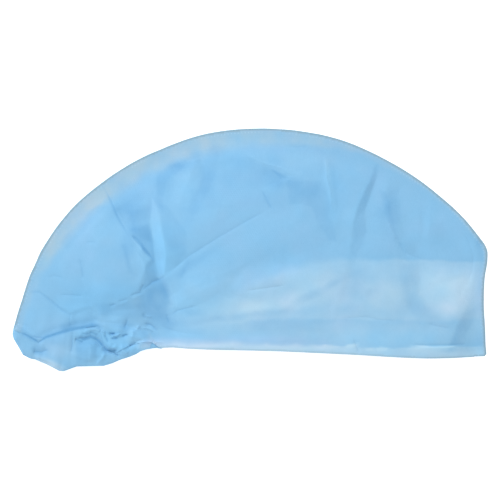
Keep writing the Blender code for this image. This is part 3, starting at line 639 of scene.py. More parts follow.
# Thin lines of shade, or of light, each with its half width in millimetres
Stroke = namedtuple("Stroke", "amount width line")
STROKES = (
    Stroke(-0.70, 1.3, ((22, 331.5), (30, 337), (36, 340), (39.5, 341.3))),
    Stroke(-1.00, 1.1, ((38, 342), (42, 340), (46, 337), (50, 335.8), (60, 332.6), (70, 329.6),
                        (76, 328.2), (84, 327), (92, 325.4), (98, 325.4), (101, 327.4),
                        (103, 330.5))),
    Stroke(-0.55, 2.6, ((58, 328), (70, 325.5), (80, 323), (90, 323.5), (98, 324))),
    Stroke(-0.60, 0.8, ((80, 340), (84, 338.4), (88, 336.8), (92, 336.4), (95, 337.6),
                        (98, 339.4), (101, 342.4), (104, 346.5))),
    Stroke(-0.55, 0.6, ((110, 333.5), (115, 333), (119, 332), (122, 330.5))),
    Stroke(0.70, 0.9, ((110, 344), (114, 345.6), (118, 343.6))),
    Stroke(0.75, 0.9, ((115, 353), (118, 351.5), (121, 351))),
    Stroke(0.90, 0.6, ((131, 346), (138, 343.4), (142, 342), (146, 341.2), (152, 341.4),
                       (158, 344))),
    Stroke(0.50, 0.8, ((148, 343), (153, 344), (157, 346))),
    Stroke(0.70, 0.5, ((410, 346.8), (430, 345.9), (456, 345.9))),
    Stroke(-0.35, 0.8, ((106, 191), (111.6, 202.3), (118.9, 218.6), (127.9, 234))),
)

# The pale hem along the mouth and the grey seam allowance round the crown, each row at a
# pixel's distance to the right, with sizes in millimetres
HemRow = namedtuple("HemRow", "right height softness amount")
HEM_ROWS = (
    HemRow(146, 2.0, 4.0, 0.0),
    HemRow(160, 2.0, 4.0, 0.60),
    HemRow(200, 2.4, 4.0, 0.80),
    HemRow(300, 3.0, 3.5, 0.75),
    HemRow(340, 4.6, 2.5, 0.60),
    HemRow(400, 5.2, 1.6, 0.50),
    HemRow(420, 6.4, 0.8, 0.65),
    HemRow(456, 6.6, 0.8, 0.65),
    HemRow(486, 5.8, 1.2, 0.60),
)
StripRow = namedtuple("StripRow", "right width amount")
CROWN_STRIP = (
    StripRow(14, 4.0, 0.30),
    StripRow(34, 4.5, 0.45),
    StripRow(48, 7.0, 0.75),
    StripRow(70, 9.5, 0.95),
    StripRow(87, 9.5, 0.95),
    StripRow(104, 10.0, 0.80),
    StripRow(122, 11.0, 0.75),
    StripRow(150, 11.5, 0.75),
    StripRow(187, 11.5, 0.85),
    StripRow(212, 12.0, 0.60),
    StripRow(232, 10.5, 0.60),
    StripRow(290, 8.5, 0.60),
    StripRow(320, 7.0, 0.55),
    StripRow(345, 4.0, 0.50),
    StripRow(370, 3.0, 0.25),
    StripRow(400, 3.5, 0.15),
    StripRow(450, 3.0, 0.05),
)
STRIP_SOFTNESS = 0.8
STRIP_EDGE = 0.8
STRIP_MOUTH = 0.45
MOUTH_STEEPNESS = 1.4

# Colours of the cloths, each full and where it is pale, casts, which scale a full colour, the
# deep one for painted shade, lights, which multiply what lies under them, two of them tints
# and the bright one a painted highlight, and how much of each layer shows
BLUE = ((0.185, 0.41, 0.625, 1), (0.37, 0.56, 0.70, 1))
WELDED_BLUE = ((0.20, 0.42, 0.60, 1), (0.30, 0.50, 0.62, 1))
ABSORBENT_WHITE = ((0.80, 0.84, 0.86, 1), (0.86, 0.88, 0.88, 1))
ELASTIC_WHITE = ((0.78, 0.78, 0.76, 1), (0.80, 0.80, 0.80, 1))
GREY_CAST = (1.64, 1.09, 0.88)
# Painted shade in creases and on dark facets blends towards this cast
PAINTED_SHADE_CAST = (0.45, 0.66, 0.80)
THIN_CAST = (0.90, 0.90, 0.90)
DENSE_CAST = (1.10, 1.10, 1.10)
VIOLET_LIGHT = (1.15, 1.01, 1.01, 1)
COLD_LIGHT = (0.88, 1.00, 1.04, 1)
# Painted highlight on bright facets and lines
PAINTED_HIGHLIGHT = (1.16, 1.16, 1.16, 1)
WELD_COLOUR = (0.38, 0.58, 0.72, 1)
# Painted shade along the cut edges
PAINTED_RIM_SHADE_COLOUR = (0.17, 0.27, 0.33, 1)
# How much of each layer shows: the first for the painted shade, the last for the painted shade
# along cut edges
PAINTED_SHADE_SHARE = 0.7
WEB_SHARE = 0.10
WELD_SHARE = 0.35
PAINTED_RIM_SHADE_SHARE = 0.75

# The web of the cloth: its noises, the spots where its fibres are pressed together, where
# each of them starts and ends, and how uneven they make the paint, the gloss and the bump
Web = namedtuple("Web", "scale detail roughness")
CLOUDS = Web(90.0, 3.0, 0.5)
MOTTLE = Web(420.0, 4.0, 0.6)
FIBRES = Web(1600.0, 3.0, 0.7)
FIBRE_STRETCH = (1.0, 5.0, 1.0)
BOND_PITCH = 0.0014
BOND_RISE = 0.0012
BOND_HALF_WIDTH = 0.00042
BOND_HALF_HEIGHT = 0.00030
BOND_EDGE = (0.3, 1.2)
WELD_EDGE = (0.2, 1.4)
WELD_CLOUD = (0.4, 0.6)
WEB_RANGE = (0.35, 0.65)
FIBRE_RANGE = (0.3, 0.7)
MOTTLE_PART = 0.6
PALE_UNEVEN, MORE_WHERE_PALE, LEAST_UNEVEN = 0.6, 0.8, 0.3
STRIP_UNEVEN = 0.8
FIBRE_BUMP, MOTTLE_BUMP, BOND_BUMP = 0.35, 0.4, 0.5
SHEEN = 0.25
SHEEN_ROUGHNESS = 0.5
SPECULAR = 0.3
SMOOTHEST, ROUGHEST = 0.62, 0.82
BUMP_STRENGTH = 0.35
BUMP_HEIGHT = 0.0002

# The stage
FLOOR_SIZE = 6
FLOOR_DROP = 0.0002
FLOOR_COLOUR = (0.93, 0.93, 0.93, 1)
FLOOR_ROUGHNESS = 0.9
FLOOR_GLOW = 0.5
WHITE = (1, 1, 1, 1)
STUDIO_LIGHT = 0.94
KEY_PLACE = (-1.2, 1.4, 1.5)
KEY_SIZE = 1.0
KEY_POWER = 31

# Fineness of the meshes and of the lines that they follow
NAPE_COLUMNS = 130
MOUTH_COLUMNS = 120
PANEL_ROWS = 90
CLOTH_STEP = 0.00115
CLOTH_ROW = 0.866 * CLOTH_STEP
CLOTH_CLEAR = 0.6 * CLOTH_STEP
CREASE_STEP = 0.0009
CREASE_CLEAR = CREASE_STEP / 2
CREASE_SIDES = (-0.0012, -0.0006, -0.00025, 0, 0.00025, 0.0006, 0.0012)
MERGED = 1e-7
FAR = 1
LINE_SAMPLES = 600
NEAREST_SAMPLES = 240
NEAREST_TRIES = 8
SMOOTHING = 70
SEAM_STATIONS = 900
LINING_STATIONS = 180
BEND_STATIONS = 9
CASING_STATIONS = 300
CASING_BELOW = 90
CASING_FACE = 70
CASING_BACK = 20

LOWEST = min(spot.up for spot in RUFFLE_PLACES)
CAP_LENGTH = 2 * CAD_HIGH.x
CROWN_HEIGHT = 2 * CAD_HIGH.y / (1 - LOWEST)
MOUTH_Y = CAD_HIGH.y - CROWN_HEIGHT


def place(spot):
    """The point in plan of a place given in shares."""
    return ((spot.along - 0.5) * CAP_LENGTH, MOUTH_Y + spot.up * CROWN_HEIGHT)


def seen_at(pixel):
    """The point in plan that the photograph shows at a pixel."""
    right, down = pixel
    half = PHOTO_PIXELS / 2
    return (AIM[0] + (right - half) * PIXEL, AIM[1] + (half - down) * PIXEL)


def seen_line(pixels):
    """The points in plan of a line of pixels."""
    return np.array([seen_at(pixel) for pixel in pixels])


def by_pixel(rows, column, x):
    """The values at any X of a column of a table whose rows stand at pixels."""
    at = [seen_at((row.right, 0))[0] for row in rows]
    return np.interp(x, at, [getattr(row, column) for row in rows])


def over_plan(find, x, y):
    """What a function of one point in plan gives at each of many."""
    found = np.array([find(px, py) for px, py in zip(np.ravel(x), np.ravel(y))])
    return found.reshape(np.shape(x) + found.shape[1:])


def lengths_along(line):
    """The distance run from the start of a line to each of its points."""
    return np.append(0, np.cumsum(np.linalg.norm(np.diff(line, axis=0), axis=1)))


def points_at(line, shares):
    """The points of a line at given shares of its length."""
    run = lengths_along(line)
    wanted = np.asarray(shares) * run[-1]
    return np.stack([np.interp(wanted, run, line[:, k]) for k in (0, 1)], axis=-1)


def points_along(line, count):
    """A line's points, laid out again at even distances."""
    return points_at(line, np.linspace(0, 1, count))


def evenly(line, step):
    """A line's points, laid out again at steps of about a length."""
    return points_along(line, max(2, round(lengths_along(line)[-1] / step) + 1))


def smooth_line(knots):
    """A smooth curve through points in plan, as closely spaced points."""
    knots = np.array(knots)
    run = lengths_along(knots)
    slope = np.gradient(knots, run, axis=0)
    fine = np.linspace(0, run[-1], LINE_SAMPLES)
    left = np.clip(np.searchsorted(run, fine, side="right") - 1, 0, len(run) - 2)
    span = (run[left + 1] - run[left])[:, None]
    t = (fine - run[left])[:, None] / span
    line = (
        knots[left] * (1 + 2 * t) * (1 - t) ** 2
        + slope[left] * span * t * (1 - t) ** 2
        + knots[left + 1] * t**2 * (3 - 2 * t)
        - slope[left + 1] * span * t**2 * (1 - t)
    )
    return points_along(line, LINE_SAMPLES)


def to_the_right(line):
    """The directions at right angles to a line, on the right of one who walks along it."""
    heading = np.gradient(line, axis=0)
    heading /= np.linalg.norm(heading, axis=1)[:, None]
    return np.stack([heading[:, 1], -heading[:, 0]], axis=1)


def half_turn(count):
    """Even angles within a half turn, without its ends."""
    return np.linspace(0, np.pi, count + 2)[1:-1]


def ease(share):
    """A smooth step from 0 to 1."""
    share = np.clip(share, 0, 1)
    return share * share * (3 - 2 * share)


SEAM_LINE = smooth_line(seen_line(SEAM_OUTLINE))
PANEL_BORDER = SEAM_LINE + PANEL_TUCK * to_the_right(SEAM_LINE)
IN_FRONT = (SEAM_LINE[:, 0] > 0) & (SEAM_LINE[:, 1] < seen_at(SEAM_CORNER)[1])
CROWN_BORDER = PANEL_BORDER[~IN_FRONT]
FRONT_BORDER = PANEL_BORDER[IN_FRONT]
WHOLE_EDGE = smooth_line([place(spot) for spot in GATHER_PLACES + MOUTH_PLACES])
CASING_END = seen_at(NAPE_OUTLINE[-1])[0]
HEM_START = place(GATHER_PLACES[-1])[0] + CASING_DEPTH / 2
NAPE_BEND_X = -CAP_LENGTH / 2 + CASING_DEPTH
NAPE_START_X = -CAP_LENGTH / 2 + NAPE_MARGIN
WITHIN = (WHOLE_EDGE[:, 0] > NAPE_START_X) & (WHOLE_EDGE[:, 0] < FRONT_BORDER[-1, 0])
LOWER_BORDER = WHOLE_EDGE[WITHIN]
ELASTIC_END = place(RUFFLE_PLACES[-1])[0]
RUFFLE_EDGE = seen_line(NAPE_OUTLINE)
FOOT_LINE = seen_line(PANEL_FOOT)
TIP_LINE = seen_line(NAPE_TIP)[::-1]
SEAM_HEIGHT = sum(corner.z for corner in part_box("crown_seam")) / 2


def run_of_edge(x):
    """How much of the panels' lower edge lies behind an X."""
    return np.interp(x, LOWER_BORDER[:, 0], lengths_along(LOWER_BORDER))


def panel_edge(x):
    """The Y of the panels' lower edge at any X."""
    return np.interp(x, *LOWER_BORDER.T)


def panel_foot(x):
    """The Y at which the upper panel really ends, which laps over the nape."""
    return np.where(x < FOOT_LINE[-1, 0], np.interp(x, *FOOT_LINE.T), panel_edge(x))


def nearest_on(line, x, y):
    """For each point in plan: its distance from a line, the share run, and its side.

    The side is 1 to the left of one who walks along the line, and -1 to the right.
    """
    line = np.asarray(line)
    points = np.stack([np.ravel(x), np.ravel(y)], axis=1)
    run = lengths_along(line)
    nearest = np.full(len(points), np.inf)
    share = np.zeros(len(points))
    side = np.ones(len(points))
    for k, (start, end) in enumerate(zip(line, line[1:])):
        step = end - start
        off = points - start
        t = np.clip(off @ step / (step @ step), 0, 1)
        away = np.linalg.norm(off - t[:, None] * step, axis=1)
        closer = away < nearest
        nearest[closer] = away[closer]
        share[closer] = (run[k] + t[closer] * (run[k + 1] - run[k])) / run[-1]
        cross = step[0] * off[:, 1] - step[1] * off[:, 0]
        side[closer] = np.where(cross[closer] < 0, -1, 1)
    shape = np.shape(x)
    return nearest.reshape(shape), share.reshape(shape), side.reshape(shape)


def distance_to(line, x, y):
    """How far each point in plan lies from a line."""
    return nearest_on(points_along(line, NEAREST_SAMPLES), x, y)[0]


def near_charted(pixels, x, y):
    """For each point in plan: its distance from a charted line, its side, and the fade.

    The fade is 1 along the middle of the line and falls to 0 at its ends.
    """
    away, share, side = nearest_on(seen_line(pixels), x, y)
    return away, side, ease(share / CREASE_FADE) * ease((1 - share) / CREASE_FADE)


def crease_rise(creases, x, y):
    """The height that a table of creases adds at each point in plan."""
    total = np.zeros(np.shape(x))
    for crease in creases:
        away, side, fade = near_charted(crease.line, x, y)
        width = np.where(side > 0, crease.left, crease.right) * MM
        away = np.sqrt(away**2 + CREASE_ROUNDING**2) - CREASE_ROUNDING
        strength = CREASE_END + (1 - CREASE_END) * fade
        total += crease.rise * MM * np.exp(-away / width) * strength
    return total


def wave_rise(x, y, seed):
    """Soft waves of a few sizes."""
    def rise(px, py):
        warp = noise.noise(Vector((px, py, seed)) / WAVES[0].size) * WAVE_WARP
        spots = [Vector((px + warp, py - warp, 0)) / order.size for order in WAVES]
        lane = Vector((0, 0, seed))
        return sum(order.height * noise.noise(spot + lane) for order, spot in zip(WAVES, spots))

    return over_plan(rise, x, y)


def facets_over(spots, rises, edges, x, y):
    """The height at points in plan of flat facets stretched between spots that have a rise."""
    made = delaunay_2d_cdt([Vector(spot) for spot in spots], edges, [], 0, MERGED)
    corners = []
    for spot, kept in zip(made[0], made[3]):
        corners.append(Vector((*spot, rises[kept[0]] if kept else 0)))
    tree = BVHTree.FromPolygons(corners, made[2])
    down = Vector((0, 0, -1))
    return over_plan(lambda px, py: tree.ray_cast(Vector((px, py, FAR)), down)[0].z, x, y)


def facet_rise(x, y, seed):
    """The flat facets that crisp cloth keeps between fine random creases."""
    total = np.zeros(np.shape(x))
    random = np.random.default_rng(seed)
    for order in FACETS:
        reach = CAP_LENGTH / 2 + 2 * order.size
        steps = np.arange(-reach, reach, order.size)
        spots = np.stack(np.meshgrid(steps, steps), axis=-1).reshape(-1, 2)
        spots += random.uniform(-FACET_JITTER, FACET_JITTER, spots.shape) * order.size
        level = random.uniform(-1, 1, len(spots)) * order.height
        total += facets_over(spots, level, [], x, y)
    return total


def fold_rise(folds, x, y):
    """The height of the facets between the charted fold lines, a little softened."""
    wide, deep = (share * CAP_LENGTH for share in FOLD_FRAME)
    spots = [(-wide, -deep), (wide, -deep), (wide, deep), (-wide, deep)]
    spots += list(points_along(SEAM_LINE, SEAM_SPOTS))
    mouth = WHOLE_EDGE[WHOLE_EDGE[:, 0] > CASING_END]
    spots += list(points_along(mouth, MOUTH_SPOTS)) + list(RUFFLE_EDGE[:-2])
    rises = [0] * len(spots)
    edges = []
    for fold in folds:
        edges += [(len(spots) + k, len(spots) + k + 1) for k in range(len(fold) - 1)]
        spots += [seen_at((bend.right, bend.down)) for bend in fold]
        gain = NAPE_FOLD_GAIN if fold in NAPE_FOLDS else FOLD_GAIN
        rises += [bend.rise * gain * MM for bend in fold]
    total = 0
    for turn in np.linspace(0, 2 * np.pi, FOLD_SAMPLES, endpoint=False):
        right, up = FOLD_SOFTNESS * math.cos(turn), FOLD_SOFTNESS * math.sin(turn)
        total = total + facets_over(spots, rises, edges, x + right, y + up)
    return total / FOLD_SAMPLES


def wandering(x, y):
    """Points in plan, each moved a little by noise, so that painted shapes have uneven edges."""
    def moved(px, py):
        steps = [
            noise.noise_vector(Vector((px, py, order.seed)) / order.size) * order.reach
            for order in WANDERS
        ]
        return (px + sum(step.x for step in steps), py + sum(step.y for step in steps))

    found = over_plan(moved, x, y)
    return found[..., 0], found[..., 1]


def cloud_over(cloud, x, y):
    """One noise over points in plan, about 0."""
    found = over_plan(
        lambda px, py: noise.noise(Vector((px, py, cloud.seed)) / cloud.size), x, y
    )
    return cloud.share * CLOUD_GAIN * found


def clouded(clouds, x, y):
    """The sum of a few noises over points in plan."""
    return sum(cloud_over(cloud, x, y) for cloud in clouds)


def patched(patches, x, y):
    """The sum of soft patches at each point in plan."""
    total = np.zeros(np.shape(x))
    for patch in patches:
        centre = seen_at(patch.at)
        turn = math.radians(patch.turn)
        right, up = x - centre[0], y - centre[1]
        along = (right * math.cos(turn) + up * math.sin(turn)) / (patch.across * PIXEL)
        over = (up * math.cos(turn) - right * math.sin(turn)) / (patch.down * PIXEL)
        total += patch.amount * np.exp(-((along**2 + over**2) ** PATCH_SHARPNESS))
    return total


def smoothed(heights, passes):
    """Heights on a grid, each averaged with its neighbours a few times."""
    for _ in range(passes):
        wide = np.pad(heights, 1, mode="edge")
        near = wide[:-2, 1:-1] + wide[2:, 1:-1] + wide[1:-1, :-2] + wide[1:-1, 2:]
        heights = (heights * 2 + near) / 6
    return heights


class Surface:
    """The faces of a mesh, for its height over or under a point in plan."""

    def __init__(self, piece):
        mesh = piece.data
        points = [vertex.co for vertex in mesh.vertices]
        faces = [polygon.vertices[:] for polygon in mesh.polygons]
        self.tree = BVHTree.FromPolygons(points, faces)

    def height(self, x, y, down=True):
        """The height met from above, or from below."""
        side = 1 if down else -1
        hit = self.tree.ray_cast(Vector((x, y, side * FAR)), Vector((0, 0, -side)))[0]
        if hit is None:
            hit = Vector((x, y, SEAM_HEIGHT))
            for _ in range(NEAREST_TRIES):
                hit = self.tree.find_nearest(Vector((x, y, hit.z)))[0]
        return hit.z

    def heights(self, x, y, down=True):
        """The heights met over many points."""
        return over_plan(lambda px, py: self.height(px, py, down), x, y)


def panel_plan():
    """The panels' grid in plan: columns from nape to forehead, rows from mouth to crown."""
    whole = run_of_edge(LOWER_BORDER[-1, 0])
    casing_end = run_of_edge(CASING_END) / whole
    nape = np.linspace(0, casing_end, NAPE_COLUMNS + 1)
    mouth = np.linspace(casing_end, 1, MOUTH_COLUMNS + 1)
    u = np.concatenate([nape, mouth[1:]])
    v = np.linspace(0, 1, PANEL_ROWS + 1)
    nape_start = CROWN_MARGIN / lengths_along(CROWN_BORDER)[-1]
    bottom = points_at(LOWER_BORDER, u)
    bottom[:, 1] = panel_foot(bottom[:, 0])
    top = points_at(CROWN_BORDER, nape_start + (1 - nape_start) * u)
    right = points_at(FRONT_BORDER[::-1], v)
    right[0], right[-1] = bottom[-1], top[-1]
    left = points_at(np.stack([bottom[0], top[0]]), v)
    u, v = u[:, None, None], v[None, :, None]
    corners = (1 - u) * ((1 - v) * bottom[0] + v * top[0])
    corners = corners + u * ((1 - v) * bottom[-1] + v * top[-1])
    between = (1 - v) * bottom[:, None] + v * top[:, None]
    return between + (1 - u) * left[None] + u * right[None] - corners


def within(outline, spots):
    """Which spots lie inside a closed outline."""
    inside = np.zeros(len(spots), bool)
    for start, end in zip(outline, np.roll(outline, -1, axis=0)):
        crosses = (start[1] > spots[:, 1]) != (end[1] > spots[:, 1])
        share = (spots[:, 1] - start[1]) / (end[1] - start[1] if end[1] != start[1] else 1)
        inside ^= crosses & (spots[:, 0] < start[0] + share * (end[0] - start[0]))
    return inside


def clear_of(spots, others, distance):
    """The spots that lie further than a distance from all the others."""
    tree = KDTree(len(others))
    for k, other in enumerate(others):
        tree.insert((*other, 0), k)
    tree.balance()
    return [spot for spot in spots if tree.find((*spot, 0))[2] > distance]


def cut_cloth(plan, lines):
    """A panel's spots in plan and its triangles, close together along the lines given."""
    sides = (plan[:, 0], plan[-1, :], plan[::-1, -1], plan[0, ::-1])
    rim = np.vstack([evenly(side, CREASE_STEP)[:-1] for side in sides])
    low, high = rim.min(axis=0), rim.max(axis=0)
    x, y = np.meshgrid(
        np.arange(low[0], high[0], CLOTH_STEP), np.arange(low[1], high[1], CLOTH_ROW)
    )
    x[::2] += CLOTH_STEP / 2
    spread = np.stack([x.ravel(), y.ravel()], axis=1)
    rows = []
    for line in lines:
        middle = evenly(seen_line([pixel[:2] for pixel in line]), CREASE_STEP)
        aside = to_the_right(middle)
        rows += [middle + across * aside for across in CREASE_SIDES]
    close = np.vstack(rows)
    kept = clear_of(close[within(rim, close)], rim, CREASE_CLEAR)
    kept += clear_of(spread[within(rim, spread)], [*rim, *kept], CLOTH_CLEAR)
    spots = [Vector(spot) for spot in [*rim, *kept]]
    edges = [(k, (k + 1) % len(rim)) for k in range(len(rim))]
    made = delaunay_2d_cdt(spots, edges, [], 1, MERGED)
    return np.array([spot[:] for spot in made[0]]), made[2]


def select_only(piece):
    """Makes a piece the only one selected, and the active one."""
    bpy.ops.object.select_all(action="DESELECT")
    piece.select_set(True)
    bpy.context.view_layer.objects.active = piece


def new_sheet(name, points, faces, corners):
    """A one-sided sheet, with a UV map of its flat size from the corners of its faces."""
    mesh = bpy.data.meshes.new(name)
    mesh.from_pydata(points.tolist(), [], faces)
    layer = mesh.uv_layers.new(name="flat")
    layer.data.foreach_set("uv", corners.ravel())
    piece = bpy.data.objects.new(name, mesh)
    bpy.context.collection.objects.link(piece)
    return piece


def at_corners(grid):
    """A grid's values at the four corners of each of its cells."""
    return np.stack([grid[:-1, :-1], grid[1:, :-1], grid[1:, 1:], grid[:-1, 1:]], axis=-1)


def make_sheet(name, points, flat, closed_round=False):
    """A one-sided sheet through a grid of points."""
    columns, rows = points.shape[:2]
    index = np.arange(columns * rows).reshape(columns, rows)
    if closed_round:
        index = np.hstack([index, index[:, :1]])
    across = np.linspace(0, flat[0], columns)
    up = np.linspace(0, flat[1], index.shape[1])
    u, v = np.meshgrid(across, up, indexing="ij")
    faces = at_corners(index).reshape(-1, 4).tolist()
    corners = np.stack([at_corners(u), at_corners(v)], axis=-1)
    return new_sheet(name, points.reshape(-1, 3), faces, corners)


def paint(piece, **shares):
    """Float attributes on a piece's vertices, for its finish."""
    for name, values in shares.items():
        layer = piece.data.attributes.new(name, "FLOAT", "POINT")
        values = np.broadcast_to(np.ravel(values), len(piece.data.vertices))
        layer.data.foreach_set("value", values.astype(np.float32))


def thicken(piece, thickness, offset):
    """Gives a sheet its cloth thickness, and shades it smooth."""
    select_only(piece)
    wall = piece.modifiers.new("cloth", "SOLIDIFY")
    wall.thickness = thickness
    wall.offset = offset
    wall.use_even_offset = False
    bpy.ops.object.modifier_apply(modifier=wall.name)
    bpy.ops.object.shade_smooth_by_angle(angle=math.radians(SMOOTH_DEGREES))


def finish_piece(piece, node, material):
    """Puts a piece in place of its solid, with its finish."""
    piece.data.materials.append(material)
    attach(piece, "root")
    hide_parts(node)


def strip_share(x, y):
    """How grey the cloth looks along its edge and over the turned seam allowance."""
    width = by_pixel(CROWN_STRIP, "width", x) * MM
    to_crown = distance_to(CROWN_BORDER, *wandering(x, y))
    blotchy = 1 + clouded(STRIP_CLOUDS, x, y)
    outside = 1 - ease((to_crown - width) / (width * STRIP_SOFTNESS) + 0.5)
    strip = by_pixel(CROWN_STRIP, "amount", x) * blotchy * outside
    edge = STRIP_EDGE * (1 - ease(distance_to(PANEL_BORDER, x, y) / EDGE_WIDTH))
    mouth = 1 - ease((y - panel_edge(x)) * MOUTH_STEEPNESS / EDGE_WIDTH)
    return np.maximum(strip, np.maximum(edge, STRIP_MOUTH * mouth * (x > HEM_START)))


def painted_rim_shade_share(x, y):
    """How much painted shade lies as a fine dark line along the panel's cut edge."""
    seam = 1 - ease((distance_to(PANEL_BORDER, x, y) - RIM_WIDTH / 2) / RIM_WIDTH)
    mouth = (1 - ease((y - panel_edge(x)) / RIM_WIDTH)) * (x > HEM_START)
    return np.maximum(seam, by_pixel(MOUTH_RIM_SHADE_ROWS, "value", x) * mouth)


def tint_share(x, y):
    """How far the blue leans to violet, or below zero to a cold blue."""
    return np.clip(clouded(TINT_CLOUDS, x, y) + patched(TINT_PATCHES, x, y), -1, 1)


def pale_share(x, y):
    """How pale the upper panel looks where the band lies behind it or it is doubled."""
    x, y = wandering(x, y)
    over_foot = y - np.interp(x, *seen_line(BAND_FOOT).T)
    under_top = np.interp(x, *seen_line(BAND_TOP).T) - y
    band = ease(over_foot / BAND_FOOT_SOFTNESS + 0.5)
    band = band * ease(under_top / by_pixel(BAND_TOP_SOFTNESS, "value", x) + 0.5)
    band = band * by_pixel(BAND_ENDS, "value", x) * (BAND_SHOWS + patched(BAND_PATCHES, x, y))
    over_hem = y - panel_edge(x) - by_pixel(HEM_ROWS, "height", x) * MM
    hem = 1 - ease(over_hem / (by_pixel(HEM_ROWS, "softness", x) * MM) + 0.5)
    hem = hem * by_pixel(HEM_ROWS, "amount", x)
    return np.clip(band + patched(PALE_PATCHES, x, y) + hem, 0, 1)


def painted_shade_and_light_share(x, y):
    """How much painted light brightens, or painted shade darkens, the cloth in its creases and
    on its charted facets.
    """
    total = np.zeros(np.shape(x))
    # Painted shade along valley creases
    for creases, gain in ((PANEL_CREASES, CREASE_PAINTED_SHADE), (NAPE_CREASES, NAPE_PAINTED_SHADE)):
        for crease in creases:
            if crease.rise < 0:
                away, _, fade = near_charted(crease.line, x, y)
                total += gain * crease.rise * fade * np.exp(-((away / CREASE_SHADE) ** 2))
    for stroke in STROKES:
        away, _, fade = near_charted(stroke.line, x, y)
        total += stroke.amount * fade * np.exp(-((away / (stroke.width * MM)) ** 2))
    x, y = wandering(x, y)
    spots = np.stack([np.ravel(x), np.ravel(y)], axis=1)
    uneven = 1 + clouded(PAINTED_SHADE_CLOUDS, x, y)
    # Painted shade and painted light in soft patches
    total = total + uneven * patched(PAINTED_SHADE_AND_LIGHT_PATCHES, x, y)
    # Painted shade and painted light on the charted facets
    for tone in PAINTED_FACET_SHADES:
        corners = seen_line(tone.corners)
        away = nearest_on(np.vstack([corners, corners[:1]]), x, y)[0]
        inside = within(corners, spots).reshape(np.shape(x))
        deep = np.where(inside, away, -away) / (tone.softness * MM)
        total += tone.amount * uneven * ease(deep + 0.5)
    return np.clip(total, -DARKEST_PAINTED_SHADE, 1)


def seam_blend(x, y):
    """How near a point is to the seam, from 0 to 1 on its border."""
    return 1 - ease(distance_to(PANEL_BORDER, x, y) / SEAM_BLEND)


def cloth_rise(x, y):
    """All the creases, folds and crumple of the cap's upper side."""
    charted = crease_rise(PANEL_CREASES, x, y) + NAPE_GAIN * crease_rise(NAPE_CREASES, x, y)
    charted = charted + fold_rise(PANEL_FOLDS + NAPE_FOLDS, x, y)
    return charted + wave_rise(x, y, UPPER_WAVES) + facet_rise(x, y, UPPER_FACETS)


def make_right_panel(plan, casing):
    """The upper side panel, folded as in the photograph."""
    casing = Surface(casing)
    solid = Surface(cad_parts["right_panel"])
    base = smoothed(solid.heights(plan[..., 0], plan[..., 1]), SMOOTHING)
    base = make_sheet("base", np.dstack([plan, base]), PANEL_FLAT)
    lines = [crease.line for crease in PANEL_CREASES + NAPE_CREASES] + list(PANEL_FOLDS)
    spots, faces = cut_cloth(plan, lines)
    x, y = spots.T
    height = Surface(base).heights(x, y)
    bpy.data.objects.remove(base)
    near = seam_blend(x, y)
    height = height * (1 - near) + (SEAM_HEIGHT + LAY_GAP + CLOTH) * near
    height = height + (1 - near) * cloth_rise(x, y)
    sampled = np.minimum(y, panel_edge(x) - CASING_DEPTH / 2)
    smooth = ease((x - NAPE_BEND_X) / NAPE_BLEND)
    on_casing = casing.heights(x, sampled) * (1 - smooth) + casing_top(x, sampled) * smooth
    over = ease((panel_edge(x) + LAP_BLEND - y) / LAP_BLEND) * ease((CASING_END - x) / LAP_END)
    height = height + over * (on_casing + LAP_GAP + CLOTH - height)
    height = height + over * NAPE_GROOVE * by_pixel(GROOVE_ROWS, "value", x)
    corners = spots[np.concatenate(faces)]
    piece = new_sheet("upper_panel", np.column_stack([spots, height]), faces, corners)
    away, share, _ = nearest_on(points_along(SEAM_LINE, NEAREST_SAMPLES), x, y)
    paint(
        piece,
        pale=pale_share(x, y),
        strip=strip_share(x, y),
        # tone: painted shade and painted light
        tone=painted_shade_and_light_share(x, y),
        tint=tint_share(x, y),
        # rim: painted shade along the cut edges
        rim=painted_rim_shade_share(x, y),
        from_seam=away,
        along_seam=share * lengths_along(SEAM_LINE)[-1],
    )
    thicken(piece, CLOTH, -1)
    return piece


def make_left_panel(plan):
    """The lower side panel."""
    kept = plan[::2, ::2]
    x, y = kept[..., 0], kept[..., 1]
    solid = Surface(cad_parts["left_panel"])
    height = smoothed(solid.heights(x, y, down=False), SMOOTHING)
    near = seam_blend(x, y)
    height = height * (1 - near) + (SEAM_HEIGHT - LAY_GAP - CLOTH) * near
    crumple = wave_rise(x, y, LOWER_WAVES) + facet_rise(x, y, LOWER_FACETS)
    crumple = np.maximum(crumple - crumple.min() * LOWER_CRUMPLE_SUNK, 0)
    height = np.maximum(height + crumple * (1 - near), 0)
    piece = make_sheet("lower_panel", np.dstack([x, y, height]), PANEL_FLAT)
    paint(piece, pale=0)
    thicken(piece, CLOTH, 1)
    return piece


def wavering(run, waver):
    """A slow noise along a line, from the distances run to its points."""
    found = [noise.noise(Vector((at / waver.size, *waver.lane))) for at in run]
    return np.array(found) * waver.reach


